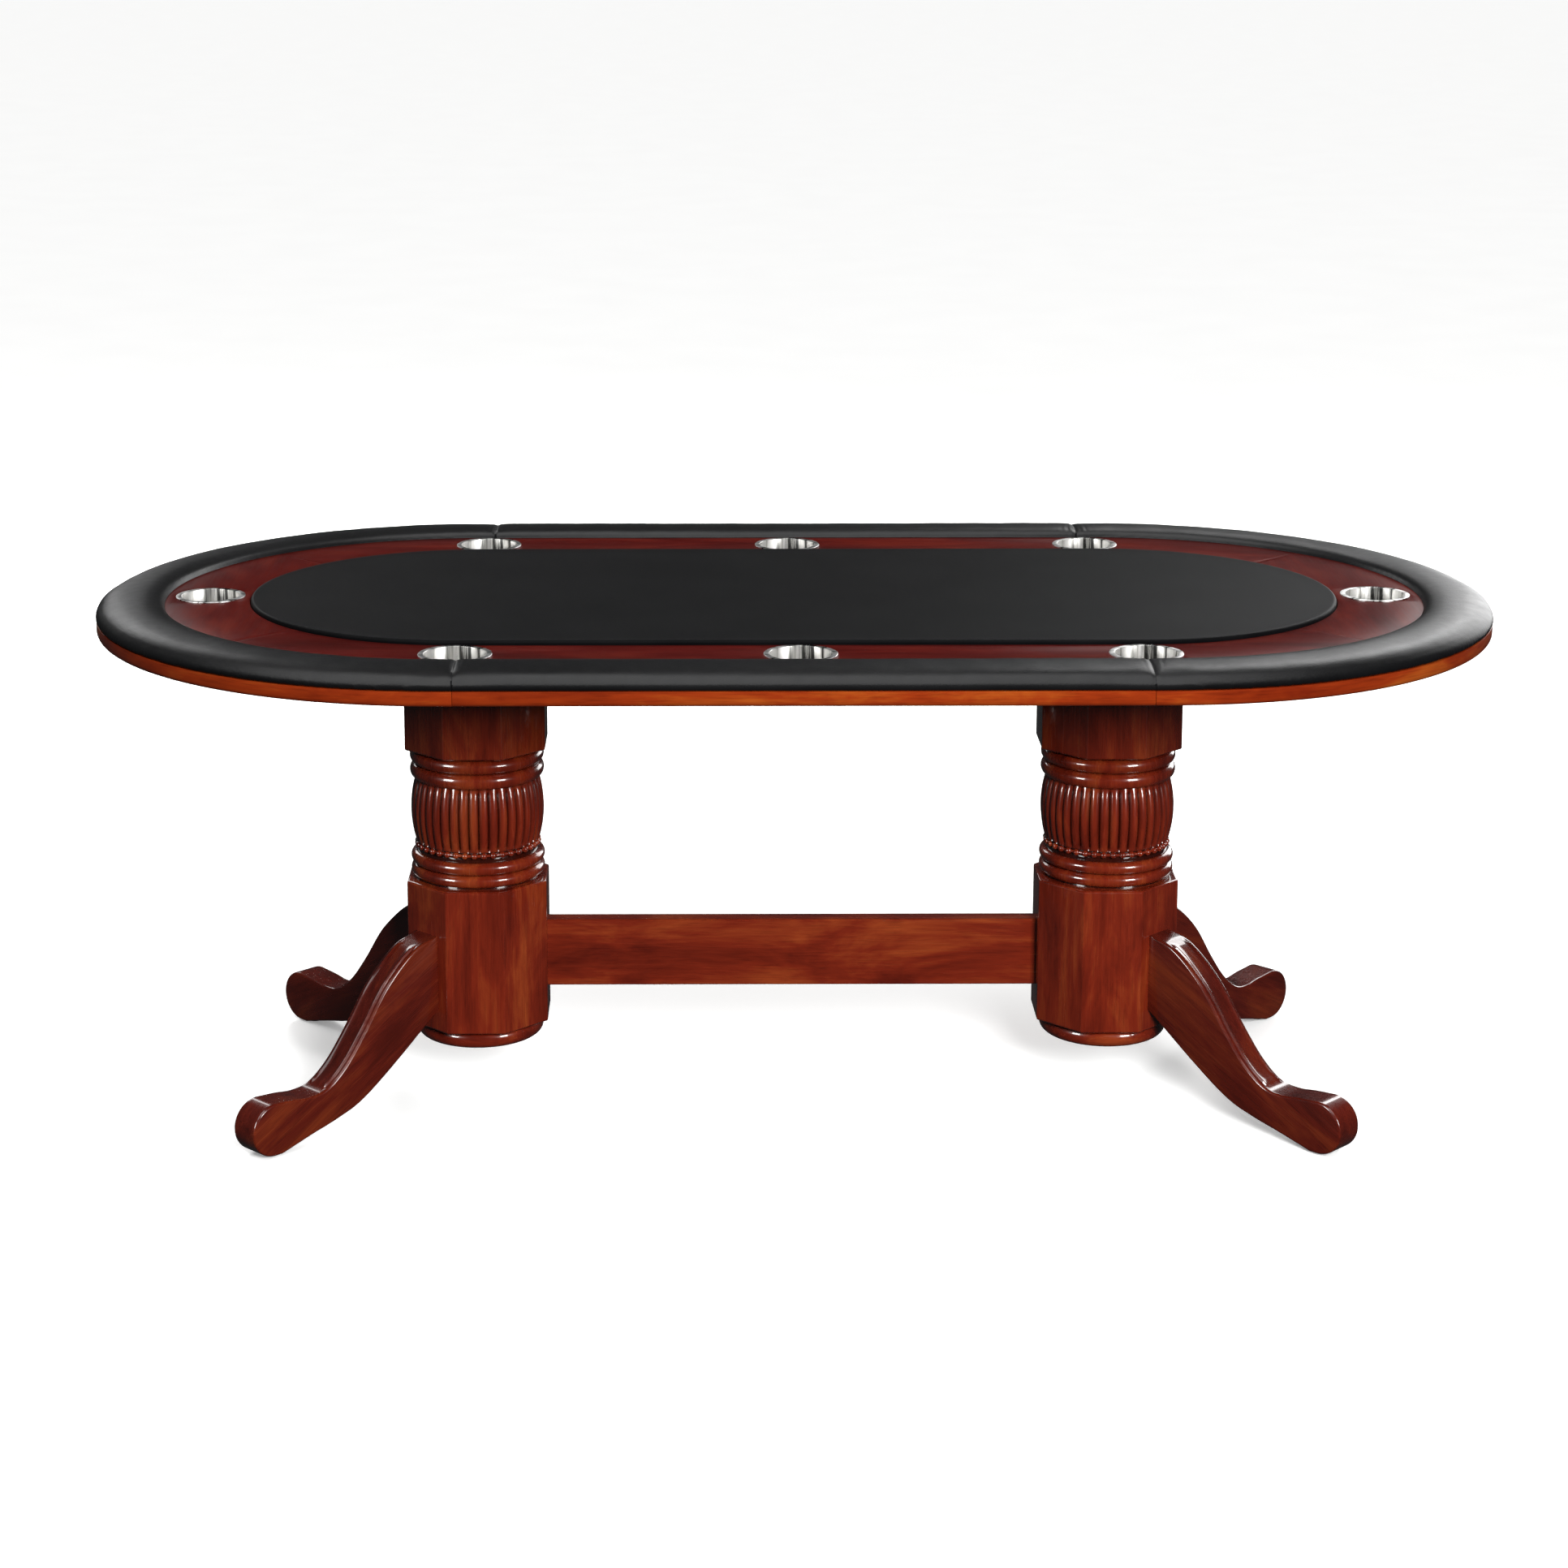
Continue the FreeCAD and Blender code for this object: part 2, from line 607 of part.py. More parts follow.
def make_legs():
    body = leg_solid(0.0, leg_thickness)
    rims = [edge for edge in body.Edges
            if abs(edge.BoundBox.YMax - edge.BoundBox.YMin) < 0.01 and edge.BoundBox.XMax > apothem + 1
            and edge.BoundBox.ZMax > glide_show + 0.1]
    body = body.makeFillet(leg_edge_round, rims)
    lift = band_height / math.sqrt(2) * 1.05
    band = leg_solid(lift, band_width)
    span = leg_reach - apothem
    stretch = [(0.13, leg_root_top + 30), (0.13, leg_root_top - 45), (0.50, foot_height - 12),
               (0.60, foot_height - 18), (0.66, foot_height + 26), (0.66, leg_root_top + 30)]
    outline = [V(apothem + share * span, -band_width, height) for share, height in stretch]
    window = Part.Face(Part.makePolygon(outline + [outline[0]])).extrude(V(0, 2 * band_width, 0))
    band = band.common(window)
    leg = body.fuse(band)
    toe_x = leg_reach - (foot_height - glide_show) / 2
    glide_x = toe_x - 8.0
    stem = cylinder(2.0 + screw_gap, glide_show - 1, glide_show + glide_stem + screw_gap, glide_x)
    glides = []
    dowels = []
    for name, side in SIDES.items():
        for place, row in (("front", -1), ("back", 1)):
            turn = leg_turn(side, row)
            copy = leg.cut(stem)
            nail = cylinder(2.0, glide_show - 0.5, glide_show + glide_stem, glide_x)
            glide = cylinder(glide_radius, 0, glide_show, glide_x).fuse(nail).removeSplitter()
            for shape in (copy, glide):
                shape.rotate(V(0, 0, 0), V(0, 0, 1), turn)
                shape.translate(V(side * pedestal_x, 0, 0))
            holes = [dowel(dowel_radius + screw_gap, screw_gap, side, row, level) for level in dowel_levels()]
            save("leg_" + place + "_" + name, cut_all(copy, holes))
            glides.append(glide)
            dowels += [dowel(dowel_radius, 0, side, row, level) for level in dowel_levels()]
    save("foot_glides", Part.makeCompound(glides))
    save("leg_dowel_screws", Part.makeCompound(dowels))


def make_battens():
    for name, side in (("front", -1), ("back", 1)):
        corner = V(-batten_length / 2, side * batten_y - batten_width / 2, plate_bottom)
        save("deck_batten_" + name, Part.makeBox(batten_length, batten_width, plate_thickness, corner))


def make_screws():
    save("rail_screws", Part.makeCompound(
        [screw(x, y, deck_bottom, rail_screw_length) for x, y in rail_screw_places()]))
    save("playing_board_screws", Part.makeCompound(
        [screw(x, y, deck_bottom, play_screw_length) for x, y in play_screw_places()]))
    save("top_plate_screws", Part.makeCompound(
        [screw(x, y, plate_bottom, plate_screw_length) for side in SIDES.values()
         for x, y in plate_screw_places(side)]))


make_deck()
make_racetrack()
make_apron()
make_rail()
make_playing_panel()
make_cups()
make_battens()
make_screws()
make_blocks()
make_column()
make_pearls()
make_rods()
make_legs()
make_stretcher()
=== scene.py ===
# %% [markdown]
# # An oval poker table, dressed piece by piece
# The engineering model comes first: every board, cup and turning is already in the frame, at its real
# size. This notebook gives each visible piece its looks. Hidden pieces, such as the tie rods, stay as
# they are and only get a material.

# %% Load the frame
import json
import math

import bmesh
import bpy
import numpy as np
from mathutils import Matrix, Vector

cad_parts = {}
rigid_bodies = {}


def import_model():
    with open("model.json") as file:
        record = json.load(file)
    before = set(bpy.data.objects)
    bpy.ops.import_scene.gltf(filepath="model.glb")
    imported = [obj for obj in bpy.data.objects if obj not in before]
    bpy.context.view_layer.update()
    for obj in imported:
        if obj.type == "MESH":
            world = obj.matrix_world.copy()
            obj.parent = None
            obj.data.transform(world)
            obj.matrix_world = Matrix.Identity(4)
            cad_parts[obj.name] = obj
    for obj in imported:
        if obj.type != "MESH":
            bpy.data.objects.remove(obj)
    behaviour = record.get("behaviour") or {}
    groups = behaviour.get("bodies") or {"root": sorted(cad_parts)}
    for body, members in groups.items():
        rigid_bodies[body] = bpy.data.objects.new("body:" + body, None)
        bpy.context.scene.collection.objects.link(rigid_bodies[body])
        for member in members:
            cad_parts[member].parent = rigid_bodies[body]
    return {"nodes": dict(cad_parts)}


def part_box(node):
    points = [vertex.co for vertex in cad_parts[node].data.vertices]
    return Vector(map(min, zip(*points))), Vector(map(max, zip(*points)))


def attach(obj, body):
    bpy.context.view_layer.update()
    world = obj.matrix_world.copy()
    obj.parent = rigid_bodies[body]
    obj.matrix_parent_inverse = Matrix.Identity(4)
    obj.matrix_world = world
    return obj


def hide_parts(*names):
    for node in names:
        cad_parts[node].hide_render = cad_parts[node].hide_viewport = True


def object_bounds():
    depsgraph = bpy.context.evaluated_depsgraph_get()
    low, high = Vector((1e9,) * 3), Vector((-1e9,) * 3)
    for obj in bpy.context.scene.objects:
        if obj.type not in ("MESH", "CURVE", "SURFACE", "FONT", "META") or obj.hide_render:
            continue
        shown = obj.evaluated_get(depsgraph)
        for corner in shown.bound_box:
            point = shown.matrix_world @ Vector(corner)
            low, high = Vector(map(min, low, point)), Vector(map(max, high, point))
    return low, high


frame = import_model()
cad_low, cad_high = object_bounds()
print("table box in metres", [round(v, 3) for v in cad_high - cad_low])

# %% [markdown]
# ## Sizes
# Each place is read from the frame's own boxes, so a change to the engineering model moves the looks
# with it. The small sizes that only the eye needs, such as an eased edge, are named here.

# %% Sizes from the frame
mm = 0.001
PARTS = ("front", "back", "left", "right")
ROWS = {"front": -1, "back": 1}
SIDES = {"left": -1, "right": 1}
CUPS = [name for name in frame["nodes"] if name.startswith("cup_")]

track_low, track_high = (corner.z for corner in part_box("racetrack_front"))
pad_low, pad_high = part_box("rail_pad_front")
half_width = -pad_low.y
half_length = cad_high.x
rail_width = pad_high.y - pad_low.y
seam_x = pad_high.x
arc_x = half_length - half_width
panel_low, panel_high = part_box("playing_pad")
eased = 0.8 * mm
print("arc centre", round(arc_x, 3), "rail width", round(rail_width, 3))

# %% [markdown]
# ## Small helpers
# Everything below is modelled as by hand: add a primitive, go into edit mode, select faces by where
# they are, extrude, inset or bevel them, then finish with modifiers that are applied. These helpers keep
# that to one line each. An operator works on whatever is selected, so each helper clears the selection.


# %% Selecting, editing and finishing
def only(piece):
    """Make this the one selected and active object."""
    if bpy.context.object and bpy.context.object.mode != "OBJECT":
        bpy.ops.object.mode_set(mode="OBJECT")
    bpy.ops.object.select_all(action="DESELECT")
    piece.select_set(True)
    bpy.context.view_layer.objects.active = piece
    return piece


def add(name, primitive, **settings):
    """Add a primitive, name it, and put its place and turn into its mesh."""
    bpy.ops.object.select_all(action="DESELECT")
    primitive(**settings)
    piece = bpy.context.object
    piece.name = name
    piece.data.name = name
    bpy.ops.object.transform_apply(location=True, rotation=True, scale=True)
    return piece


def edit(piece, kind="FACE"):
    only(piece)
    bpy.ops.object.mode_set(mode="EDIT")
    bpy.ops.mesh.select_mode(type=kind)


def pick(piece, test, kind="FACE"):
    """In edit mode, select the faces, edges or vertices that pass a test on their middle and normal."""
    bpy.ops.mesh.select_mode(type=kind)
    bpy.ops.mesh.select_all(action="DESELECT")
    mesh = bmesh.from_edit_mesh(piece.data)
    for item in {"FACE": mesh.faces, "EDGE": mesh.edges, "VERT": mesh.verts}[kind]:
        item.select_set(bool(test(item)))
    mesh.select_flush_mode()
    bmesh.update_edit_mesh(piece.data)


def done(piece):
    """Leave edit mode with doubles merged and every face pointing outwards."""
    bpy.ops.mesh.select_all(action="SELECT")
    bpy.ops.mesh.remove_doubles(threshold=1e-5)
    bpy.ops.mesh.normals_make_consistent(inside=False)
    bpy.ops.object.mode_set(mode="OBJECT")
    return piece


def finish_with(piece, kind, **settings):
    """Add a modifier with its settings and apply it."""
    modifier = piece.modifiers.new(kind.title(), kind)
    for key, value in settings.items():
        setattr(modifier, key, value)
    only(piece)
    bpy.ops.object.modifier_apply(modifier=modifier.name)
    return piece


def smooth(piece, angle):
    """Shade smooth, but keep an edge crisp if it turns by more than this many degrees."""
    only(piece)
    bpy.ops.object.shade_smooth_by_angle(angle=math.radians(angle))
    return piece


def ease(piece, width=eased):
    """Round every sharp edge a little, as sandpaper does, and shade the rest smooth."""
    finish_with(piece, "BEVEL", width=width, segments=2, limit_method="ANGLE",
                angle_limit=math.radians(40), harden_normals=False)
    return smooth(piece, 32)


def copy_of(piece, name):
    """A second piece with a mesh of its own."""
    twin = piece.copy()
    twin.data = piece.data.copy()
    twin.name = name
    twin.data.name = name
    bpy.context.collection.objects.link(twin)
    return twin


def points(piece):
    """The piece's vertices as an array."""
    spots = np.empty(len(piece.data.vertices) * 3)
    piece.data.vertices.foreach_get("co", spots)
    return spots.reshape(-1, 3)


def place_points(piece, spots):
    piece.data.vertices.foreach_set("co", spots.ravel())
    piece.data.update()
    return piece


def write(piece, name, values):
    """Store a number or a vector with every vertex, for a shader to read."""
    kind, field = ("FLOAT", "value") if values.ndim == 1 else ("FLOAT_VECTOR", "vector")
    piece.data.attributes.new(name, kind, "POINT").data.foreach_set(field, values.ravel())
    return piece


def level(item, height):
    """True if all corners of an edge or face are at this height."""
    return all(abs(v.co.z - height) < 1e-5 for v in item.verts)


def reach_of(vert):
    """A vertex's distance from the line between the centres of the round ends."""
    return math.hypot(max(abs(vert.co.x) - arc_x, 0), vert.co.y)


def round_off(piece, test, size, steps):
    """In edit mode, round the edges that pass a test."""
    pick(piece, test, "EDGE")
    bpy.ops.mesh.bevel(offset=size, segments=steps, affect="EDGES")


def join(pieces):
    """Join all pieces into the first."""
    only(pieces[0])
    for piece in pieces[1:]:
        piece.select_set(True)
    bpy.ops.object.join()
    return pieces[0]


# %% [markdown]
# ## Colour and nodes
# Colours are written as they look on a screen, in hex, and one function turns them to the linear values
# that a shader wants. The others add a node with its settings and links, and give back what it puts out.


# %% Colour and node helpers
def colour(hex_code):
    parts = [int(hex_code[i:i + 2], 16) / 255 for i in (1, 3, 5)]
    return tuple(p / 12.92 if p <= 0.04045 else ((p + 0.055) / 1.055) ** 2.4 for p in parts) + (1.0,)


def feed(tree, made, inputs):
    """Fill a node's inputs. Each is (socket, value or the socket that feeds it)."""
    for socket, value in inputs:
        if isinstance(value, bpy.types.NodeSocket):
            tree.links.new(value, made.inputs[socket])
        else:
            made.inputs[socket].default_value = value


def node(tree, kind, inputs=(), **settings):
    """Add a shader node with its settings and inputs."""
    made = tree.nodes.new(kind)
    for key, value in settings.items():
        setattr(made, key, value)
    feed(tree, made, inputs)
    return made


def object_place(tree):
    return node(tree, "ShaderNodeTexCoord").outputs["Object"]


def noise(tree, where, scale, detail=2.0, **more):
    """Noise at a place. Its scale is one number, or three that stretch it along the axes."""
    if isinstance(scale, tuple):
        where = node(tree, "ShaderNodeMapping", [("Vector", where), ("Scale", scale)]).outputs[0]
        scale = 1.0
    inputs = [("Vector", where), ("Scale", scale), ("Detail", detail), *more.items()]
    return node(tree, "ShaderNodeTexNoise", inputs).outputs[0]


def mapped(tree, value, low, high, start=0.0, end=1.0):
    """A value that runs from start to end, mapped to run from low to high."""
    return node(tree, "ShaderNodeMapRange", [("Value", value), ("From Min", start), ("From Max", end),
                                             ("To Min", low), ("To Max", high)]).outputs[0]


def combined(tree, operation, one, other):
    return node(tree, "ShaderNodeMath", [(0, one), (1, other)], operation=operation).outputs[0]


def tinted(tree, share, colour_in, tint):
    """A colour multiplied by a tint, by a share of 0 to 1."""
    return node(tree, "ShaderNodeMix", [("Factor", share), (6, colour_in), (7, tint)],
                data_type="RGBA", blend_type="MULTIPLY").outputs[2]


def bump(tree, height, strength, distance):
    return node(tree, "ShaderNodeBump", [("Strength", strength), ("Distance", distance),
                                         ("Height", height)]).outputs[0]


def new_material(name):
    """A material with an empty tree but for its shader, and that shader."""
    material = bpy.data.materials.new(name)
    material.use_nodes = True
    return material, material.node_tree, material.node_tree.nodes["Principled BSDF"]


def ramp(tree, factor, stops):
    """Colour ramp with (position, hex colour) stops."""
    made = node(tree, "ShaderNodeValToRGB", [(0, factor)])
    elements = made.color_ramp.elements
    while len(elements) < len(stops):
        elements.new(0.5)
    for element, (position, hex_code) in zip(elements, stops):
        element.position = position
        element.color = colour(hex_code)
    return made.outputs["Color"]


def paint(piece, material):
    piece.data.materials.clear()
    piece.data.materials.append(material)
    return piece


# %% [markdown]
# ## Red cherry stain on hardwood
# The boards are hardwood with a wiped red stain under satin lacquer. Stain sinks deeper into the early
# wood, so the grain shows as dark streaks in a warm red. Each piece carries its own "grain" attribute,
# a position in metres with X along its fibres, so a leg's grain runs down the leg and two boards cut from
# different planks don't match. Figure is about 60 mm wide, streaks about 6 mm. Real pores are 0.2 mm, too
# fine to show, and are drawn 2 mm wide. On turned pieces a dark glaze darkens the grooves, and it also
# paints in the shade that falls there. An attribute says how much, so that the reeds and beads stand out.


# %% Cherry-stained hardwood
# Noise cells in a metre: along the fibres, and both ways across them.
FIGURE = (4.5, 17, 17)
STREAKS = (9, 170, 170)
PORES = (25, 500, 500)
PLANK_OFFSET = np.array([1.7, 0.61, 0.37])


def stained_hardwood(name, stain, roughness, coat, gloss):
    """Lacquered wood. The stain is its darkest, middle and lightest colour."""
    material, tree, shader = new_material(name)
    where = node(tree, "ShaderNodeAttribute", attribute_name="grain").outputs["Vector"]
    # Glaze attribute: a dark glaze that also carries painted shade in the grooves and between the beads.
    painted_recess_shade = node(tree, "ShaderNodeAttribute", attribute_name="glaze").outputs["Fac"]
    figure = noise(tree, where, FIGURE, 6.0, Roughness=0.6, Distortion=0.6)
    streak = noise(tree, where, STREAKS, 4.0, Distortion=0.4)
    pore = noise(tree, where, PORES)
    blend = node(tree, "ShaderNodeMix", [("Factor", 0.17), (2, figure), (3, streak)]).outputs[0]
    toned = ramp(tree, blend, list(zip((0.3, 0.5, 0.7), stain)))
    pores = mapped(tree, pore, 0.8, 1.0, 0.33, 0.48)
    # Painted shade: the glaze darkens the colour in the grooves and between the beads.
    glaze = mapped(tree, painted_recess_shade, 1.0, 0.16)
    shade = combined(tree, "MULTIPLY", pores, glaze)
    feed(tree, shader, [("Base Color", tinted(tree, 1.0, toned, shade)),
                        ("Roughness", mapped(tree, streak, roughness - 0.05, roughness + 0.09)),
                        ("Normal", bump(tree, pore, 0.05, 0.0003)), ("IOR", 1.42),
                        ("Specular IOR Level", gloss), ("Coat Weight", coat), ("Coat Roughness", 0.07)])
    return material


wood = {name: stained_hardwood("cherry_stain_" + name, stain, roughness, coat, gloss)
        for name, stain, roughness, coat, gloss in [
            ("racetrack", ("#330a08", "#46110e", "#5a1c13"), 0.32, 0.0, 0.03),
            ("apron", ("#5c1606", "#7e2a0b", "#9c4d17"), 0.3, 0.3, 0.5),
            ("pedestal", ("#450e07", "#6e200f", "#903e1b"), 0.24, 1.0, 0.4),
            ("leg", ("#310a06", "#52160c", "#6e2a12"), 0.24, 1.0, 0.4)]}


def lay_grain(piece, along=(1, 0, 0), seed=0):
    """Write the grain: places turned so that X runs along the fibres, moved by a plank offset."""
    x = Vector(along).normalized()
    z = Vector((0, 0, 1)) if abs(x.z) < 0.9 else Vector((0, 1, 0))
    y = z.cross(x).normalized()
    axes = np.array([x, y, x.cross(y)])
    return write(piece, "grain", points(piece) @ axes.T + PLANK_OFFSET * seed)


# %% [markdown]
# ## Black upholstery vinyl
# The rail is covered in leatherette: vinyl on a knitted back, embossed with a fine pebble. It is soft
# black with a broad satin sheen, because the pebble breaks up the reflection. Real pebbles are about
# 1 mm, and are drawn 2.5 mm across so that the sheen shows them.


# %% Leatherette
def upholstery_vinyl():
    material, tree, shader = new_material("black_upholstery_vinyl")
    where = object_place(tree)
    pebble = node(tree, "ShaderNodeTexVoronoi", [("Vector", where), ("Scale", 400.0)],
                  feature="F1").outputs[0]
    crease = noise(tree, where, 60.0, 4.0)
    cloudy = noise(tree, where, 5.0, 3.0)
    height = combined(tree, "SUBTRACT", crease, pebble)
    feed(tree, shader, [("Base Color", ramp(tree, cloudy, [(0.3, "#09090a"), (0.7, "#101011")])),
                        ("Roughness", mapped(tree, crease, 0.33, 0.45)),
                        ("Normal", bump(tree, height, 0.18, 0.0006)),
                        ("IOR", 1.5), ("Specular IOR Level", 0.38)])
    return material


vinyl = upholstery_vinyl()

# %% [markdown]
# ## Black playing cloth
# Playing cloth is a tight polyester weave with a slippery finish. It is blacker than the vinyl, and it
# lightens towards a low light because its fibres catch it. Threads are 0.4 mm apart, too fine to show,
# and are drawn 1.6 mm apart.


# %% Playing cloth
def playing_cloth():
    material, tree, shader = new_material("black_speed_cloth")
    where = object_place(tree)
    threads = [("Vector", where), ("Scale", 200.0), ("Distortion", 0.4)]
    warp, weft = (node(tree, "ShaderNodeTexWave", threads, bands_direction=axis).outputs["Fac"]
                  for axis in "XY")
    weave = combined(tree, "MAXIMUM", warp, weft)
    nap = noise(tree, where, 9.0, 3.0)
    feed(tree, shader, [("Base Color", ramp(tree, nap, [(0.35, "#070708"), (0.65, "#0b0b0c")])),
                        ("Normal", bump(tree, weave, 0.08, 0.0003)), ("Roughness", 0.5), ("IOR", 1.3),
                        ("Specular IOR Level", 0.1), ("Sheen Weight", 0.01), ("Sheen Roughness", 0.4)])
    return material


cloth = playing_cloth()

# %% [markdown]
# ## Metals, boards and nylon
# The cups are polished stainless steel. Deep drawing leaves fine lines up the wall, and they vary its
# roughness. Bright and dark streaks along them are painted into the steel's colour as painted reflections.
# Real lines are too fine to show, and are drawn about 13 mm apart. Screws and rods are zinc-plated. The
# deck is raw fibreboard, and the hidden cores are plywood.


# %% Polished stainless steel
def polished_steel():
    """Steel whose grain attribute is (length round the cup, radius, height), with lines up the wall and
    painted reflection streaks along them.
    """
    material, tree, shader = new_material("polished_stainless_steel")
    where = node(tree, "ShaderNodeAttribute", attribute_name="grain").outputs["Vector"]
    lines = noise(tree, where, (75, 8, 3), 3.0)
    # Painted reflection: bright and dark streaks put into the steel's colour. The same lines also vary its
    # roughness.
    painted_reflection_streaks = ramp(tree, lines, [(0.38, "#3c3c3b"), (0.46, "#cfceca"), (0.54, "#fdfcfa")])
    feed(tree, shader, [("Base Color", painted_reflection_streaks), ("Metallic", 1.0),
                        ("Roughness", mapped(tree, lines, 0.24, 0.4, 0.35, 0.65))])
    return material


def speckled(name, dark, light, grit_mm, roughness, metallic=0.0):
    """A plain finish with a fine mottle, for fibreboard, plating and moulded nylon."""
    material, tree, shader = new_material(name)
    mottle = noise(tree, object_place(tree), 1 / (grit_mm * mm), 4.0)
    feed(tree, shader, [("Base Color", ramp(tree, mottle, [(0.35, dark), (0.65, light)])),
                        ("Normal", bump(tree, mottle, 0.15, 0.0002)),
                        ("Roughness", roughness), ("Metallic", metallic)])
    return material


def birch_plywood():
    """Sanded birch with a faint grain along the table, and thin dark glue lines where the edge shows."""
    material, tree, shader = new_material("birch_plywood")
    where = object_place(tree)
    face = ramp(tree, noise(tree, where, (8, 160, 160), 4.0), [(0.35, "#a98457"), (0.65, "#cfae7d")])
    plies = node(tree, "ShaderNodeTexWave", [("Vector", where), ("Scale", 50.0)], bands_direction="Z")
    glue = ramp(tree, plies.outputs["Fac"], [(0.0, "#8a6a45"), (0.25, "#ffffff")])
    feed(tree, shader, [("Base Color", tinted(tree, 0.6, face, glue)), ("Roughness", 0.62)])
    return material


steel = polished_steel()
zinc = speckled("zinc_plate", "#8d9092", "#b4b7b8", 1.2, 0.32, metallic=1.0)
fibreboard = speckled("raw_fibreboard", "#6d5136", "#836445", 2.0, 0.75)
nylon = speckled("moulded_nylon", "#101010", "#1b1b1b", 1.5, 0.5)
plywood = birch_plywood()

for name, cad in frame["nodes"].items():
    if name.startswith(("rail_core", "top_plate", "deck_batten", "playing_board")):
        paint(cad, plywood)
    if name.endswith(("screws", "nuts")) or name.startswith("tie_rod"):
        paint(cad, zinc)
paint(frame["nodes"]["deck_board"], fibreboard)
paint(frame["nodes"]["foot_glides"], nylon)


def stand_in_for(piece, material_slot, *nodes, body="table"):
    """The last step for each piece: it rides on its body and is shown in place of its nodes."""
    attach(piece, body)
    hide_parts(*nodes)


# %% [markdown]
# ## The oval
# Every layer of the top is the same shape: two straight sides and two half-round ends. A circle does it.
# Its two halves are pulled apart in edit mode, and the two edges between them become the straight sides.
# The circle is turned by half a step first, so that no vertex sits on the line between the halves.


# %% Ovals and bands
def pull_apart(piece, distance):
    """Move the selected vertices right of the middle to the right, and the rest to the left."""
    mesh = bmesh.from_edit_mesh(piece.data)
    chosen = [vert.index for vert in mesh.verts if vert.select]
    for side in (-1, 1):
        pick(piece, lambda v: v.index in chosen and v.co.x * side > 0, "VERT")
        bpy.ops.transform.translate(value=(side * distance, 0, 0))


def oval_band(name, outer, inner, low, high, steps=256):
    """Flat band between two ovals, each (half length, half width), then pulled up to its thickness."""
    turn = math.pi / steps
    piece = add(name, bpy.ops.mesh.primitive_circle_add, vertices=steps, radius=outer[1],
                location=(0, 0, low), rotation=(0, 0, turn))
    edit(piece, "VERT")
    bpy.ops.mesh.select_all(action="SELECT")
    pull_apart(piece, outer[0] - outer[1])
    first = len(bmesh.from_edit_mesh(piece.data).verts)
    bpy.ops.mesh.primitive_circle_add(vertices=steps, radius=inner[1], location=(0, 0, low),
                                      rotation=(0, 0, turn))
    pick(piece, lambda v: v.index >= first, "VERT")
    pull_apart(piece, inner[0] - inner[1])
    bpy.ops.mesh.select_all(action="SELECT")
    bpy.ops.mesh.bridge_edge_loops()
    bpy.ops.mesh.select_all(action="SELECT")
    bpy.ops.mesh.extrude_region_move(TRANSFORM_OT_translate={"value": (0, 0, high - low)})
    return done(piece)


def slice_off(piece, at, normal):
    """Cut with a plane, drop what lies on the normal's side, and close the cut."""
    edit(piece)
    bpy.ops.mesh.select_all(action="SELECT")
    bpy.ops.mesh.bisect(plane_co=at, plane_no=normal, use_fill=True, clear_outer=True)
    return done(piece)


# %% [markdown]
# ## The racetrack
# Four boards make the wooden band. The end boards are mitred to the long ones at 45 degrees, and their
# grain runs across the table. The cup holes are bored with a Boolean, and each board's edges are eased
# by 0.8 mm, so that the mitres show as thin lines that catch the light.

# %% Racetrack boards
track_outer = half_width - rail_width + 3 * mm
panel_gap = 1.5 * mm
bore_radius = 47 * mm
bore_depth = 60 * mm
mitre = math.sqrt(0.5)
joint_gap = 0.15 * mm

track = oval_band("racetrack", (arc_x + track_outer, track_outer),
                  (panel_high.x + panel_gap, panel_high.y + panel_gap), track_low, track_high)
cup_middle = {name: (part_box(name)[0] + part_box(name)[1]) / 2 for name in CUPS}
borer = join([add("borer_" + name, bpy.ops.mesh.primitive_cylinder_add, vertices=64, radius=bore_radius,
                  depth=bore_depth, location=(spot.x, spot.y, track_high))
              for name, spot in cup_middle.items()])
finish_with(track, "BOOLEAN", operation="DIFFERENCE", object=borer, solver="EXACT")
bpy.data.objects.remove(borer)
for part in PARTS:
    board = copy_of(track, "racetrack_board_" + part)
    if part in SIDES:
        side = SIDES[part]
        for row in (-1, 1):
            at = (side * (arc_x + joint_gap), 0, 0)
            slice_off(board, at, (-side * mitre, row * mitre, 0))
    else:
        row = ROWS[part]
        slice_off(board, (0, 0, 0), (0, -row, 0))
        for side in (-1, 1):
            slice_off(board, (side * (arc_x - joint_gap), 0, 0), (side * mitre, -row * mitre, 0))
    ease(board)
    lay_grain(board, (0, 1, 0) if part in SIDES else (1, 0, 0), seed=PARTS.index(part) + 3)
    paint(board, wood["racetrack"])
    stand_in_for(board, "cherry_wood", "racetrack_" + part)
bpy.data.objects.remove(track)
print("racetrack boards", len(PARTS))

# %% [markdown]
# ## The apron
# A band of the same hardwood closes the edge under the rail. Its lower outside edge is rounded over,
# and it is cut where the rail's seams are. On the round ends it is bent, so its grain follows the bend:
# the pattern is laid on the angle round the arc, times the radius.


# %% Apron lengths
def band_between(name, part, low, high, inset, width, spare=-0.2 * mm):
    """One of four lengths of a band that follows the table's edge, cut off past the seams by the spare."""
    outer = half_width - inset
    inner = outer - width
    piece = oval_band(name, (arc_x + outer, outer), (arc_x + inner, inner), low, high)
    return cut_at_seams(piece, part, spare)


def cut_at_seams(piece, part, spare):
    if part in ROWS:
        slice_off(piece, (0, 0, 0), (0, -ROWS[part], 0))
        for side in (-1, 1):
            slice_off(piece, (side * (seam_x + spare), 0, 0), (side, 0, 0))
    else:
        side = SIDES[part]
        slice_off(piece, (side * (seam_x - spare), 0, 0), (-side, 0, 0))
    return piece


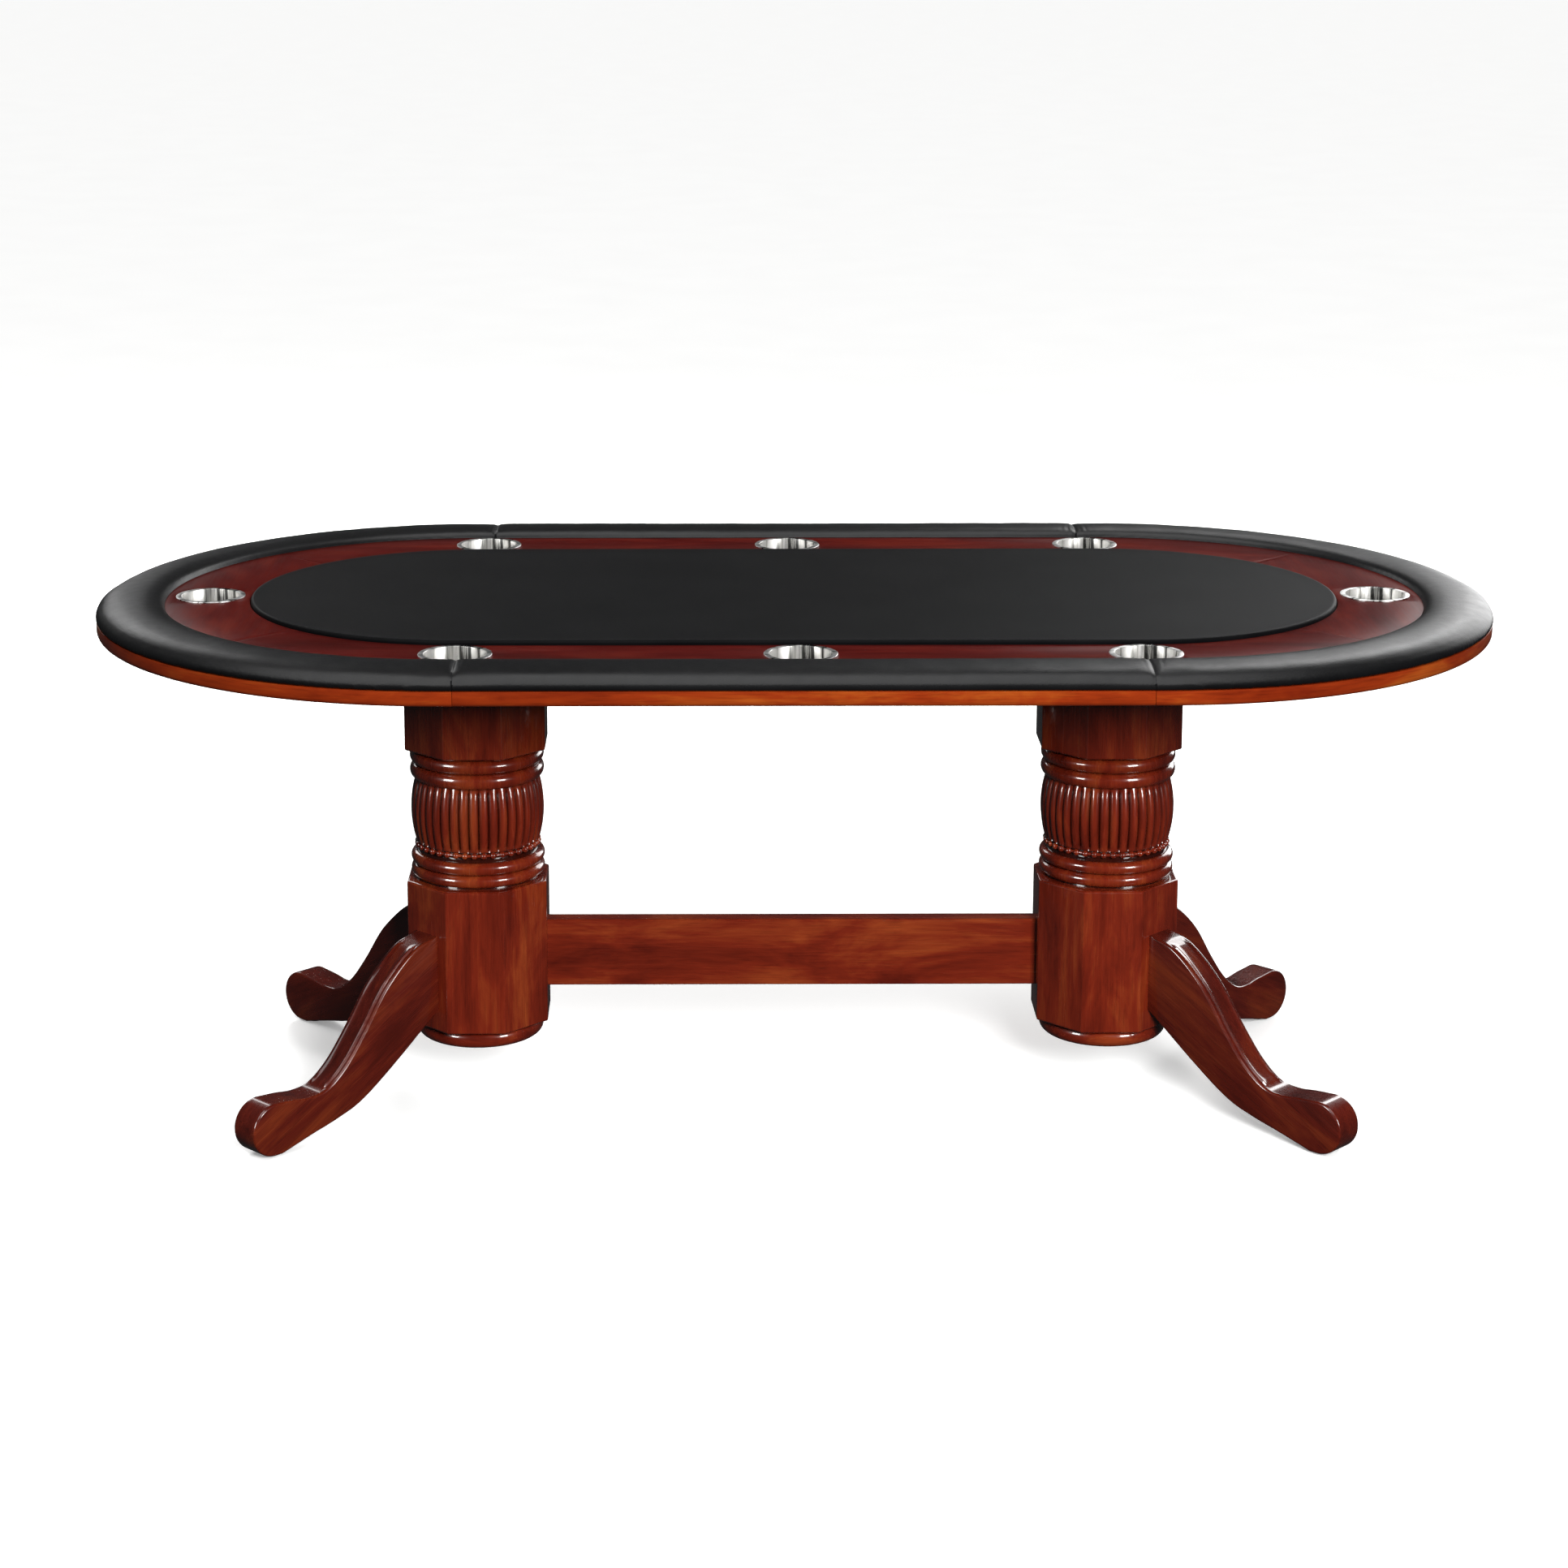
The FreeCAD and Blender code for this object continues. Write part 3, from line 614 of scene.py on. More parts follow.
def lay_bent_grain(piece, seed):
    """Grain along the edge of the table: length round the oval, depth in from it, and height."""
    x, y, z = points(piece).T
    over = np.sign(x) * np.maximum(np.abs(x) - arc_x, 0)
    angle = np.arctan2(over, np.abs(y))
    run = np.clip(x, -arc_x, arc_x) + angle * half_width
    return write(piece, "grain", np.stack([run, np.hypot(over, y), z], 1) + seed * 0.53)


apron_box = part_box("apron_front")
apron_low, apron_high = (corner.z for corner in apron_box)
apron_inset = half_width + apron_box[0].y
apron_thickness = apron_box[1].y - apron_box[0].y
apron_round = 7 * mm
outside = half_width - apron_inset
for number, part in enumerate(PARTS):
    band = band_between("apron_band_" + part, part, apron_low, apron_high, apron_inset, apron_thickness)
    edit(band)
    round_off(band, lambda e: level(e, apron_low) and all(reach_of(v) > outside - 2 * mm for v in e.verts),
              apron_round, 6)
    done(band)
    ease(band, 0.6 * mm)
    lay_bent_grain(band, number)
    paint(band, wood["apron"])
    stand_in_for(band, "cherry_wood", "apron_" + part)

# %% [markdown]
# ## The padded rail
# Foam and vinyl are stretched over a plywood core and stapled underneath. A cloth simulation gives the
# swell: the cover's underside is pinned where the staples hold it, and a little air pressure pushes the
# rest out. A cover that is pulled tight has no creases along it, so the swell is evened out between
# neighbouring points. Each length is made a little long and trimmed after the swell, because a free end
# would round over. Sewn seams part the cover into four lengths. At a seam the vinyl is drawn down into the
# stitch line and gathers into short pleats, deepest on the inside of the rail, and those are too fine
# for the simulation, so they are pressed in afterwards.


# %% Rail pads
PRESSURE = 4.0
SWELL_FRAMES = 20
SWELL_LIMIT = 2.5 * mm


def swell(piece, pinned):
    """Cloth on an even mesh: air pressure, no gravity, and a cap on how far a point may move."""
    start = points(piece)
    group = piece.vertex_groups.new(name="stapled")
    group.add([int(i) for i in np.flatnonzero(pinned(start))], 1.0, "REPLACE")
    only(piece)
    modifier = piece.modifiers.new("Cloth", "CLOTH")
    settings = modifier.settings
    settings.vertex_group_mass = "stapled"
    settings.use_pressure = True
    settings.uniform_pressure_force = PRESSURE
    settings.effector_weights.gravity = 0
    settings.quality = 3
    modifier.point_cache.frame_start = 1
    modifier.point_cache.frame_end = SWELL_FRAMES
    for number in range(1, SWELL_FRAMES + 1):
        bpy.context.scene.frame_set(number)
    bpy.ops.object.modifier_apply(modifier=modifier.name)
    bpy.context.scene.frame_set(1)
    moved = points(piece) - start
    far = np.linalg.norm(moved, axis=1, keepdims=True)
    moved *= np.minimum(1, SWELL_LIMIT / np.maximum(far, 1e-9))
    place_points(piece, start + evened(piece, moved, 12))
    piece.vertex_groups.clear()
    return piece


def evened(piece, field, times):
    """Average a value over neighbouring points, several times."""
    ends = np.empty(len(piece.data.edges) * 2, dtype=np.int32)
    piece.data.edges.foreach_get("vertices", ends)
    one, other = ends.reshape(-1, 2).T
    count = (np.bincount(one, minlength=len(field)) + np.bincount(other, minlength=len(field)))[:, None]
    for _ in range(times):
        total = np.zeros_like(field)
        np.add.at(total, one, field[other])
        np.add.at(total, other, field[one])
        field = 0.5 * field + 0.5 * total / np.maximum(count, 1)
    return field


def rail_place(spots):
    """Each point's distance past the nearest seam, and its inset from the table's edge."""
    x, y, _ = spots.T
    over = np.maximum(np.abs(x) - arc_x, 0)
    return np.abs(x) - seam_x, half_width - np.hypot(over, y)


crown_inset = 75 * mm
outer_fall = 7.5 * mm
inner_fall = 2 * mm


def crown(piece, top):
    """Let the top fall away in a gentle arch, most towards the outer edge."""
    spots = points(piece)
    _, inset = rail_place(spots)
    foot = pad_low.z + 5 * mm
    rise = np.clip((spots[:, 2] - foot) / (top - foot), 0, 1)
    outside = np.clip((crown_inset - inset) / crown_inset, 0, 1) ** 2 * outer_fall
    inside = np.clip((inset - crown_inset) / (rail_width - crown_inset), 0, 1) ** 2 * inner_fall
    spots[:, 2] -= (outside + inside) * rise
    return place_points(piece, spots)


stitch_depth = 1.8 * mm
stitch_width = 3.5 * mm
pleat_depth = 0.8 * mm


def gather(piece):
    """Draw the cover into its seams and press in the pleats, which widen towards the inside."""
    spots = points(piece)
    away, inset = rail_place(spots)
    near = np.abs(away)
    top = np.clip((spots[:, 2] - pad_low.z) / (pad_high.z - pad_low.z), 0, 1)
    groove = stitch_depth * np.exp(-(near / stitch_width) ** 2) * top
    share = np.clip(inset / rail_width, 0, 1)
    spread = (8 + 20 * share) * mm
    pleat = np.cos(2 * math.pi * away / ((6.5 + 4.5 * share) * mm) + 1.3 * np.sign(spots[:, 0]))
    depth = pleat_depth * (0.2 + share) * np.exp(-(near / spread) ** 2) * top
    slack = 0.25 * mm * np.sin(away * 61) * np.sin(away * 23 + inset * 40) * top
    spots[:, 2] -= groove + depth * (0.5 + 0.5 * pleat) + slack
    return place_points(piece, spots)


pad_shrink = 2.2 * mm
pad_top = pad_high.z - pad_shrink
pad_spare = 15 * mm
crown_round = 19 * mm
inner_round = 11 * mm
core_line = rail_width - 6 * mm
track_line = track_high + 0.4 * mm
overhang = 15.5 * mm


def stapled(spots):
    """True for points under the pad, and for those low on its inner side."""
    _, inset = rail_place(spots)
    low_inside = (spots[:, 2] < track_line + 3 * mm) & (inset > core_line)
    return (spots[:, 2] < pad_low.z + 4 * mm) | low_inside


for part in PARTS:
    pad = band_between("rail_cover_" + part, part, pad_low.z, pad_top, pad_shrink,
                       rail_width - 1.5 * pad_shrink, spare=pad_spare)
    for wanted, size, steps in ((0.0, crown_round, 8), (rail_width, inner_round, 6)):
        edit(pad)
        round_off(pad, lambda e: level(e, pad_top) and all(
            abs(half_width - reach_of(v) - wanted) < 6 * mm for v in e.verts), size, steps)
        done(pad)
    finish_with(pad, "REMESH", mode="VOXEL", voxel_size=5 * mm, use_smooth_shade=True)
    crown(pad, pad_top)
    swell(pad, stapled)
    spots = points(pad)
    _, inset = rail_place(spots)
    lift = (inset > overhang) & (spots[:, 2] < track_line + 1 * mm)
    spots[lift, 2] = np.maximum(spots[lift, 2], track_line)
    place_points(pad, spots)
    finish_with(pad, "SUBSURF", levels=1, render_levels=1)
    cut_at_seams(pad, part, -0.1 * mm)
    gather(pad)
    only(pad)
    bpy.ops.object.shade_smooth()
    paint(pad, vinyl)
    stand_in_for(pad, "leatherette", "rail_pad_" + part)
    print(pad.name, "faces", len(pad.data.polygons))

# %% [markdown]
# ## The playing panel
# A board, a sheet of foam and a tight cloth that is wrapped round the edge. It is flat, because the board
# is, and only its edge is soft. So it is modelled directly: an oval slab with its top edge rounded, and a
# slight dip just inside the edge where the cloth is pulled tightest.

# %% Playing panel
panel_round = 5 * mm
panel_steps = 320
panel = add("playing_panel", bpy.ops.mesh.primitive_circle_add, vertices=panel_steps, radius=panel_high.y,
            fill_type="NGON", location=(0, 0, panel_low.z), rotation=(0, 0, math.pi / panel_steps))
edit(panel, "VERT")
bpy.ops.mesh.select_all(action="SELECT")
pull_apart(panel, panel_high.x - panel_high.y)
bpy.ops.mesh.select_mode(type="FACE")
bpy.ops.mesh.select_all(action="SELECT")
bpy.ops.mesh.extrude_region_move(TRANSFORM_OT_translate={"value": (0, 0, panel_high.z - panel_low.z)})
round_off(panel, lambda e: level(e, panel_high.z) and not e.is_boundary, panel_round, 7)
done(panel)
edit(panel)
pick(panel, lambda f: f.normal.z > 0.99 and f.calc_area() > 0.5)
for step_mm, dip_mm in ((4, 0.15), (8, 0.25), (14, 0.1), (24, -0.1)):
    bpy.ops.mesh.inset(thickness=step_mm * mm)
    bpy.ops.transform.translate(value=(0, 0, -dip_mm * mm))
done(panel)
smooth(panel, 35)
paint(panel, cloth)
stand_in_for(panel, "playing_cloth", "playing_pad")

# %% [markdown]
# ## The cups
# Each cup is pressed from one disc of stainless steel. The model goes the same way: a thin disc, a face
# inset to the mouth and pushed down to make the inside, and the same underneath for the outer wall. The
# lip is rolled and the bottom corner is round, so both get a real bevel. One cup is made, then copied.

# %% Cups
cup_low, cup_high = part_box(CUPS[0])
flange_radius = (cup_high.x - cup_low.x) / 2
depth = cup_high.z - cup_low.z
lip = 1.6 * mm
lip_round = 0.7 * mm
mouth_radius = 45 * mm
wall = 1 * mm
inner_corner, outer_corner = 8 * mm, 9 * mm
cup = add("cup_pattern", bpy.ops.mesh.primitive_cylinder_add, vertices=96, radius=flange_radius, depth=lip,
          location=(0, 0, cup_high.z - lip / 2))
rim = flange_radius - mouth_radius
for up, inset, drop, bottom, corner in (
        (1, rim, depth - wall, cup_high.z - (depth - wall), inner_corner),
        (-1, rim - wall, depth - lip, cup_low.z, outer_corner)):
    edit(cup)
    pick(cup, lambda f: f.normal.z * up > 0.9)
    bpy.ops.mesh.inset(thickness=inset)
    bpy.ops.mesh.extrude_region_move(TRANSFORM_OT_translate={"value": (0, 0, -drop)})
    round_off(cup, lambda e: level(e, bottom), corner, 6)
    bpy.ops.object.mode_set(mode="OBJECT")
edit(cup)
round_off(cup, lambda e: level(e, cup_high.z) and e.calc_length() < 8 * mm, lip_round, 4)
bpy.ops.object.mode_set(mode="OBJECT")
smooth(cup, 40)
x, y, z = points(cup).T
write(cup, "grain", np.stack([np.arctan2(x, -y) * mouth_radius, np.hypot(x, y), z], 1))
paint(cup, steel)
for name in CUPS:
    piece = copy_of(cup, "steel_" + name)
    piece.data.transform(Matrix.Translation((cup_middle[name].x, cup_middle[name].y, 0)))
    stand_in_for(piece, "stainless_steel", name, body=name)
bpy.data.objects.remove(cup)

# %% [markdown]
# ## The turned columns
# On a lathe the profile is cut while the blank spins, so the model spins it too: the outline is a chain
# of vertices, and the spin operator sweeps it round the axis. Beads are half ellipses in the outline.
# Forty reeds are then carved round the bulb: each is a half round between two cuts 6 mm deep, and the
# cuts fade out at both ends of the bulb. A dark glaze with painted shade is darkest in the cuts and
# between the beads.


# %% Columns
column_low, column_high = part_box("column_left")
ring_low, ring_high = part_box("pearl_ring_left")
ring_middle = (ring_low.z + ring_high.z) / 2
pedestal_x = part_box("column_right")[0].x / 2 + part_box("column_right")[1].x / 2
bead_reach = (column_high.x - column_low.x) / 2
neck = 94 * mm
reeds = 40
reed_depth = 6 * mm
fade_low, fade_high = 5 * mm, 7 * mm
groove_height = 11.5 * mm
groove_reach = 91 * mm
groove_low = ring_middle - groove_height / 2
bulb_low = groove_high = groove_low + groove_height
bulb_high = bulb_low + 100 * mm
bulb_reach = 103.2 * mm
bulb_foot = 96 * mm
collar = 3 * mm
bead_edges = [column_low.z + collar, column_low.z + 23 * mm, column_low.z + 43 * mm]
top_edges = [bulb_high, bulb_high + 24 * mm, bulb_high + 46 * mm]


def arch(low, high, steps=12):
    """Outline of a bead from low to high: (radius, height) pairs along a half ellipse."""
    middle, half = (low + high) / 2, (high - low) / 2
    return [(neck + (bead_reach - neck) * math.sin(t), middle - half * math.cos(t))
            for t in (math.pi * (i + 0.5) / steps for i in range(steps))]


def bulge(low, high, foot, reach, steps):
    """Outline of the bulb: a shallow arc of a circle."""
    sag, half = reach - foot, (high - low) / 2
    radius = (half ** 2 + sag ** 2) / (2 * sag)
    middle = (low + high) / 2
    heights = [low + (high - low) * i / steps for i in range(steps + 1)]
    return [(reach - radius + math.sqrt(radius ** 2 - (h - middle) ** 2), h) for h in heights]


outline = [(0, column_low.z), (neck, column_low.z), (neck, bead_edges[0])]
for low, high in zip(bead_edges, bead_edges[1:]):
    outline += arch(low, high)
outline += [(neck, bead_edges[-1]), (neck, groove_low),
            (groove_reach, groove_low), (groove_reach, groove_high)]
outline += bulge(bulb_low, bulb_high, bulb_foot, bulb_reach, 30)
outline += [(neck, bulb_high)]
for low, high in zip(top_edges, top_edges[1:]):
    outline += arch(low, high)
outline += [(neck, top_edges[-1]), (neck, column_high.z), (0, column_high.z)]

column = add("column_pattern", bpy.ops.mesh.primitive_circle_add, vertices=len(outline), radius=bead_reach)
place_points(column, np.array([(radius, 0, height) for radius, height in outline]))
edit(column, "EDGE")
pick(column, lambda e: all(abs(v.co.x) < 1e-6 for v in e.verts), "EDGE")
bpy.ops.mesh.delete(type="EDGE_FACE")
bpy.ops.mesh.select_all(action="SELECT")
bpy.ops.mesh.spin(steps=8 * reeds, angle=2 * math.pi, center=(0, 0, 0), axis=(0, 0, 1))
done(column)
spots = points(column)
x, y, z = spots.T
radius = np.hypot(x, y)
across = (np.arctan2(y, x) * reeds / (2 * math.pi) + 0.5) % 1.0
lobe = 1 - np.sqrt(np.clip(1 - (2 * across - 1) ** 2, 0, 1))
fade = np.clip((z - bulb_low) / fade_low, 0, 1) * np.clip((bulb_high - z) / fade_high, 0, 1)
fade *= (radius > bulb_foot - 0.5 * mm) * (z > bulb_low) * (z < bulb_high)
carved = 1 - reed_depth * lobe * np.sqrt(fade) / np.maximum(radius, neck)
spots[:, :2] *= carved[:, None]
place_points(column, spots)
# Painted shade between the beads, joined to the painted shade in the reed cuts.
painted_shade_between_beads = np.clip((bead_reach - radius) / (bead_reach - neck), 0, 1) ** 3 * (fade == 0)
write(column, "glaze", np.clip(np.maximum(lobe ** 0.8 * fade, painted_shade_between_beads), 0, 1))
smooth(column, 45)
print("column faces", len(column.data.polygons))


def set_up_pair(pattern, name, node_name, seed):
    """A copy for each pedestal, with its grain upright. The pattern is then removed."""
    for number, (place, side) in enumerate(SIDES.items()):
        piece = copy_of(pattern, name + place)
        piece.data.transform(Matrix.Translation((side * pedestal_x, 0, 0)))
        lay_grain(piece, (0, 0, 1), seed=seed + number)
        paint(piece, wood["pedestal"])
        stand_in_for(piece, "cherry_wood", node_name + place)
    bpy.data.objects.remove(pattern)


set_up_pair(column, "turned_column_", "column_", 11)

# %% [markdown]
# ## The rows of pearls
# A beaded moulding sits in the groove under the bulb. One small ball is modelled and copied round, with
# few faces, because it is repeated eighty times, and a flat band joins the balls.

# %% Pearls
pearl = 5.2 * mm
pearl_reach = 93.3 * mm
strip_reach = 92.2 * mm
strip_round = 2.4 * mm
moulding = [add("pearl_strip", bpy.ops.mesh.primitive_torus_add, major_radius=strip_reach,
                minor_radius=strip_round, major_segments=120, minor_segments=12,
                location=(0, 0, ring_middle))]
for number in range(reeds):
    turn = 2 * math.pi * number / reeds
    moulding.append(add("pearl", bpy.ops.mesh.primitive_uv_sphere_add, segments=14, ring_count=8,
                        radius=pearl, location=(pearl_reach * math.cos(turn), pearl_reach * math.sin(turn),
                                                ring_middle)))
strip = join(moulding)
bpy.ops.object.shade_smooth()
set_up_pair(strip, "pearl_moulding_", "pearl_ring_", 15)

# %% [markdown]
# ## Blocks and base caps
# The octagonal blocks are cylinders with eight sides, turned so that a flat faces the front. Their end
# edges are rounded over by 4 mm with a router, and the long edges are only eased with sandpaper. The base
# cap is a disc whose edge is a full round.


# %% Octagonal blocks and base caps
block_round = 4 * mm
cap_round = 13 * mm


def rounded_prism(name, sides, radius, low, high, x, end_round, steps, turn=0.0):
    """An upright prism between two heights, with both its ends rounded."""
    piece = add(name, bpy.ops.mesh.primitive_cylinder_add, vertices=sides, radius=radius, depth=high - low,
                location=(x, 0, (low + high) / 2), rotation=(0, 0, turn))
    edit(piece)
    round_off(piece, lambda e: abs(e.verts[0].co.z - e.verts[1].co.z) < 1e-6, end_round, steps)
    return done(piece)


for number, (name, side) in enumerate(SIDES.items()):
    x = side * pedestal_x
    for block in ("upper_block_", "lower_block_"):
        low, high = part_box(block + name)
        corner = (high.x - low.x) / 2 / math.cos(math.pi / 8)
        piece = rounded_prism("octagonal_" + block + name, 8, corner, low.z, high.z, x, block_round, 5,
                              math.pi / 8)
        edit(piece)
        round_off(piece, lambda e: abs(e.verts[0].co.z - e.verts[1].co.z) > 50 * mm, 1.5 * mm, 3)
        done(piece)
        smooth(piece, 30)
        lay_grain(piece, (0, 0, 1), seed=20 + number + low.z * 9)
        paint(piece, wood["pedestal"])
        stand_in_for(piece, "cherry_wood", block + name)
    low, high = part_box("base_cap_" + name)
    cap = rounded_prism("rounded_base_cap_" + name, 96, (high.x - low.x) / 2, low.z, high.z, x,
                        cap_round, 8)
    smooth(cap, 30)
    lay_grain(cap, (1, 0, 0), seed=26 + number)
    paint(cap, wood["pedestal"])
    stand_in_for(cap, "cherry_wood", "base_cap_" + name)

# %% [markdown]
# ## The scroll legs
# A leg is sawn from a thick plank along an S curve, and its edges are shaped afterwards. No operator
# follows such a curve, so a grid is used like veneer: it is rolled once round the leg's outline, its rows
# across the thickness carry the rounded edges and the raised band, and the two open sides are filled
# with one flat face each. The curve passes smoothly through a few points, as a bent batten does.


# %% Legs
leg_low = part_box("leg_front_right")[0]
block_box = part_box("lower_block_right")
apothem = (block_box[1].x - block_box[0].x) / 2
leg_half = 25 * mm
leg_reach = 468 * mm
root_top, root_bottom = 270 * mm, 150 * mm
foot_top, foot_bottom = 84 * mm, leg_low.z
toe = (foot_top - foot_bottom) / 2
toe_x = leg_reach - toe
band_start, band_end = 145 * mm, 330 * mm
band_rise = 3 * mm
curve_steps = 9
banded_spans = 7


def smooth_through(knots, steps):
    """Points along a smooth curve through the knots, evenly spaced between each pair."""
    knots = [np.array(k, float) for k in knots]
    ends = [2 * knots[0] - knots[1]] + knots + [2 * knots[-1] - knots[-2]]
    line = []
    for a, b, c, d in zip(ends, ends[1:], ends[2:], ends[3:]):
        for t in np.arange(steps) / steps:
            line.append(0.5 * ((2 * b) + (c - a) * t + (2 * a - 5 * b + 4 * c - d) * t ** 2
                               + (3 * b - a - 3 * c + d) * t ** 3))
    return line + [knots[-1]]


def leg_outline():
    """Side view of the leg, from the top of its root over the back, round the toe and under the foot."""
    span = leg_reach - apothem
    rise = root_top - foot_top

    def at(share, height):
        return (apothem + share * span, height)

    back = [at(share, foot_top + up * rise) for share, up in
            ((0, 1), (0.13, 0.93), (0.28, 0.69), (0.405, 0.37), (0.51, 0.13))]
    back += [at(0.61, foot_top - 2 * mm), at(0.70, foot_top - 7 * mm), at(0.79, foot_top - 3 * mm),
             (toe_x, foot_top)]
    under = [at(share, foot_bottom + up * mm) for share, up in
             ((0.85, 0), (0.70, 14), (0.56, 26), (0.43, 42), (0.26, 80))] + [at(0, root_bottom)]
    nose = [(toe_x + toe * math.sin(t), foot_bottom + toe + toe * math.cos(t))
            for t in (math.pi * i / 24 for i in range(1, 24))]
    return np.array(smooth_through(back, curve_steps) + nose + [(toe_x, foot_bottom)]
                    + smooth_through(under, curve_steps))


def leg_sections():
    """Across the leg: (distance from the middle plane, how far the surface sits in, share of the band)."""
    rounding = 3.5 * mm
    rim = [(leg_half - rounding * (1 - math.cos(t)), rounding * (1 - math.sin(t)), 0.0)
           for t in (math.radians(a) for a in (0, 22.5, 45, 67.5, 90))]
    rim += [(across_mm * mm, 0, band) for across_mm, band in
            ((19.5, 0), (18.5, -0.35), (17.5, -0.35), (17, 0.2), (16.4, 0.8), (15.2, 1.0), (13.4, 0.82),
             (12.6, 0.7), (6, 0.7))]
    return [(-y, sink, band) for y, sink, band in rim] + [(0, 0, 0.7)] + rim[::-1]


outline = leg_outline()
count = len(outline)
ahead = np.roll(outline, -1, 0) - np.roll(outline, 1, 0)
ahead[0] = outline[1] - outline[0]
ahead[-1] = outline[-1] - outline[-2]
outward = np.stack([-ahead[:, 1], ahead[:, 0]], 1) / np.linalg.norm(ahead, axis=1, keepdims=True)
along = outline[:, 0]
band_run = np.clip((along - band_start) / (8 * mm), 0, 1) * np.clip((band_end - along) / (5 * mm), 0, 1)
band_run *= np.arange(count) < banded_spans * curve_steps
free = np.clip((outline[:, 0] - apothem) / (12 * mm), 0, 1)
sections = leg_sections()

leg = add("leg_pattern", bpy.ops.mesh.primitive_grid_add, x_subdivisions=count - 1,
          y_subdivisions=len(sections) - 1, size=1)
spots = points(leg) + 0.5
column_at = np.rint(spots[:, 0] * (count - 1)).astype(int)
row_at = np.rint(spots[:, 1] * (len(sections) - 1)).astype(int)
across, sink, band = np.array(sections)[row_at].T
shift = band * band_rise * band_run[column_at] - sink * free[column_at]
profile = outline[column_at] + outward[column_at] * shift[:, None]
place_points(leg, np.stack([profile[:, 0], across, profile[:, 1]], 1))
edit(leg, "EDGE")
for side in (-1, 1):
    pick(leg, lambda e: all(abs(v.co.y - side * leg_half) < 1e-6 for v in e.verts), "EDGE")
    bpy.ops.mesh.edge_face_add()
pick(leg, lambda e: e.is_boundary, "EDGE")
bpy.ops.mesh.edge_face_add()
done(leg)
smooth(leg, 28)

stretch = Vector((leg_reach - apothem, 0, -(root_top - foot_top)))
for number, (place, row) in enumerate(ROWS.items()):
    for name, side in SIDES.items():
        piece = copy_of(leg, "scroll_leg_" + place + "_" + name)
        lay_grain(piece, stretch, seed=30 + 2 * number + side)
        turn = math.atan2(row, side)
        piece.data.transform(Matrix.Translation((side * pedestal_x, 0, 0)) @ Matrix.Rotation(turn, 4, "Z"))
        paint(piece, wood["leg"])
        stand_in_for(piece, "cherry_wood", "leg_" + place + "_" + name)
bpy.data.objects.remove(leg)
print("leg outline points", count)

# %% [markdown]
# ## The stretcher
# One board on edge between the pedestals. Its faces meet the blocks square, and the long edges are
# rounded over by 3 mm.

# %% Stretcher
board_low, board_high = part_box("stretcher")
shoulder = pedestal_x - apothem
stretcher = add("stretcher_board", bpy.ops.mesh.primitive_cube_add, size=1,
                location=(0, 0, (board_low.z + board_high.z) / 2),
                scale=(2 * shoulder, board_high.y - board_low.y, board_high.z - board_low.z))
edit(stretcher)
round_off(stretcher, lambda e: abs(e.verts[0].co.x - e.verts[1].co.x) > shoulder, 3 * mm, 5)
done(stretcher)
smooth(stretcher, 30)
lay_grain(stretcher, (1, 0, 0), seed=41)
paint(stretcher, wood["pedestal"])
stand_in_for(stretcher, "cherry_wood", "stretcher")

# %% [markdown]
# ## The floor
# A pale seamless floor that glows a little, like a light table, which keeps the shadows soft. It is
# neither mirrored in the table nor bounces light onto it, so the dark finishes keep their depth.

# %% Floor
floor_colour, tree, shader = new_material("pale_studio_floor")
dust = noise(tree, object_place(tree), 3.0)
feed(tree, shader, [("Base Color", ramp(tree, dust, [(0.3, "#f6f6f5"), (0.7, "#f9f9f8")])),
                    ("Roughness", 0.9), ("Specular IOR Level", 0.0),
                    ("Emission Color", colour("#ffffff")), ("Emission Strength", 0.26)])
floor = add("studio_floor", bpy.ops.mesh.primitive_plane_add, size=240, location=(0, 0, 0))
paint(floor, floor_colour)
floor.visible_glossy = False
floor.visible_diffuse = False

# %% [markdown]
# ## The lights
# Overhead is one broad light, a sun as wide as most of the sky. Two low strips at the front, left and
# right, give the paired highlights on the turnings. Only the base's lacquer and the cups mirror them,
# and nothing else is lit by them. Two fills, front and back, only give diffuse light. Three softboxes
# stand behind, and the ends of the rail mirror them. The surroundings are dim, but look white.


# %% Lights
def put_in_scene(name, data):
    made = bpy.data.objects.new(name, data)
    bpy.context.collection.objects.link(made)
    return made


def softbox(name, at, aim, width, height, watts):
    light = bpy.data.lights.new(name, "AREA")
    light.shape = "RECTANGLE"
    light.size = width
    light.size_y = height
    light.energy = watts
    lamp = put_in_scene(name, light)
    lamp.location = at
    lamp.rotation_euler = (Vector(aim) - Vector(at)).to_track_quat("-Z", "Y").to_euler()
    lamp.visible_camera = False
    return lamp


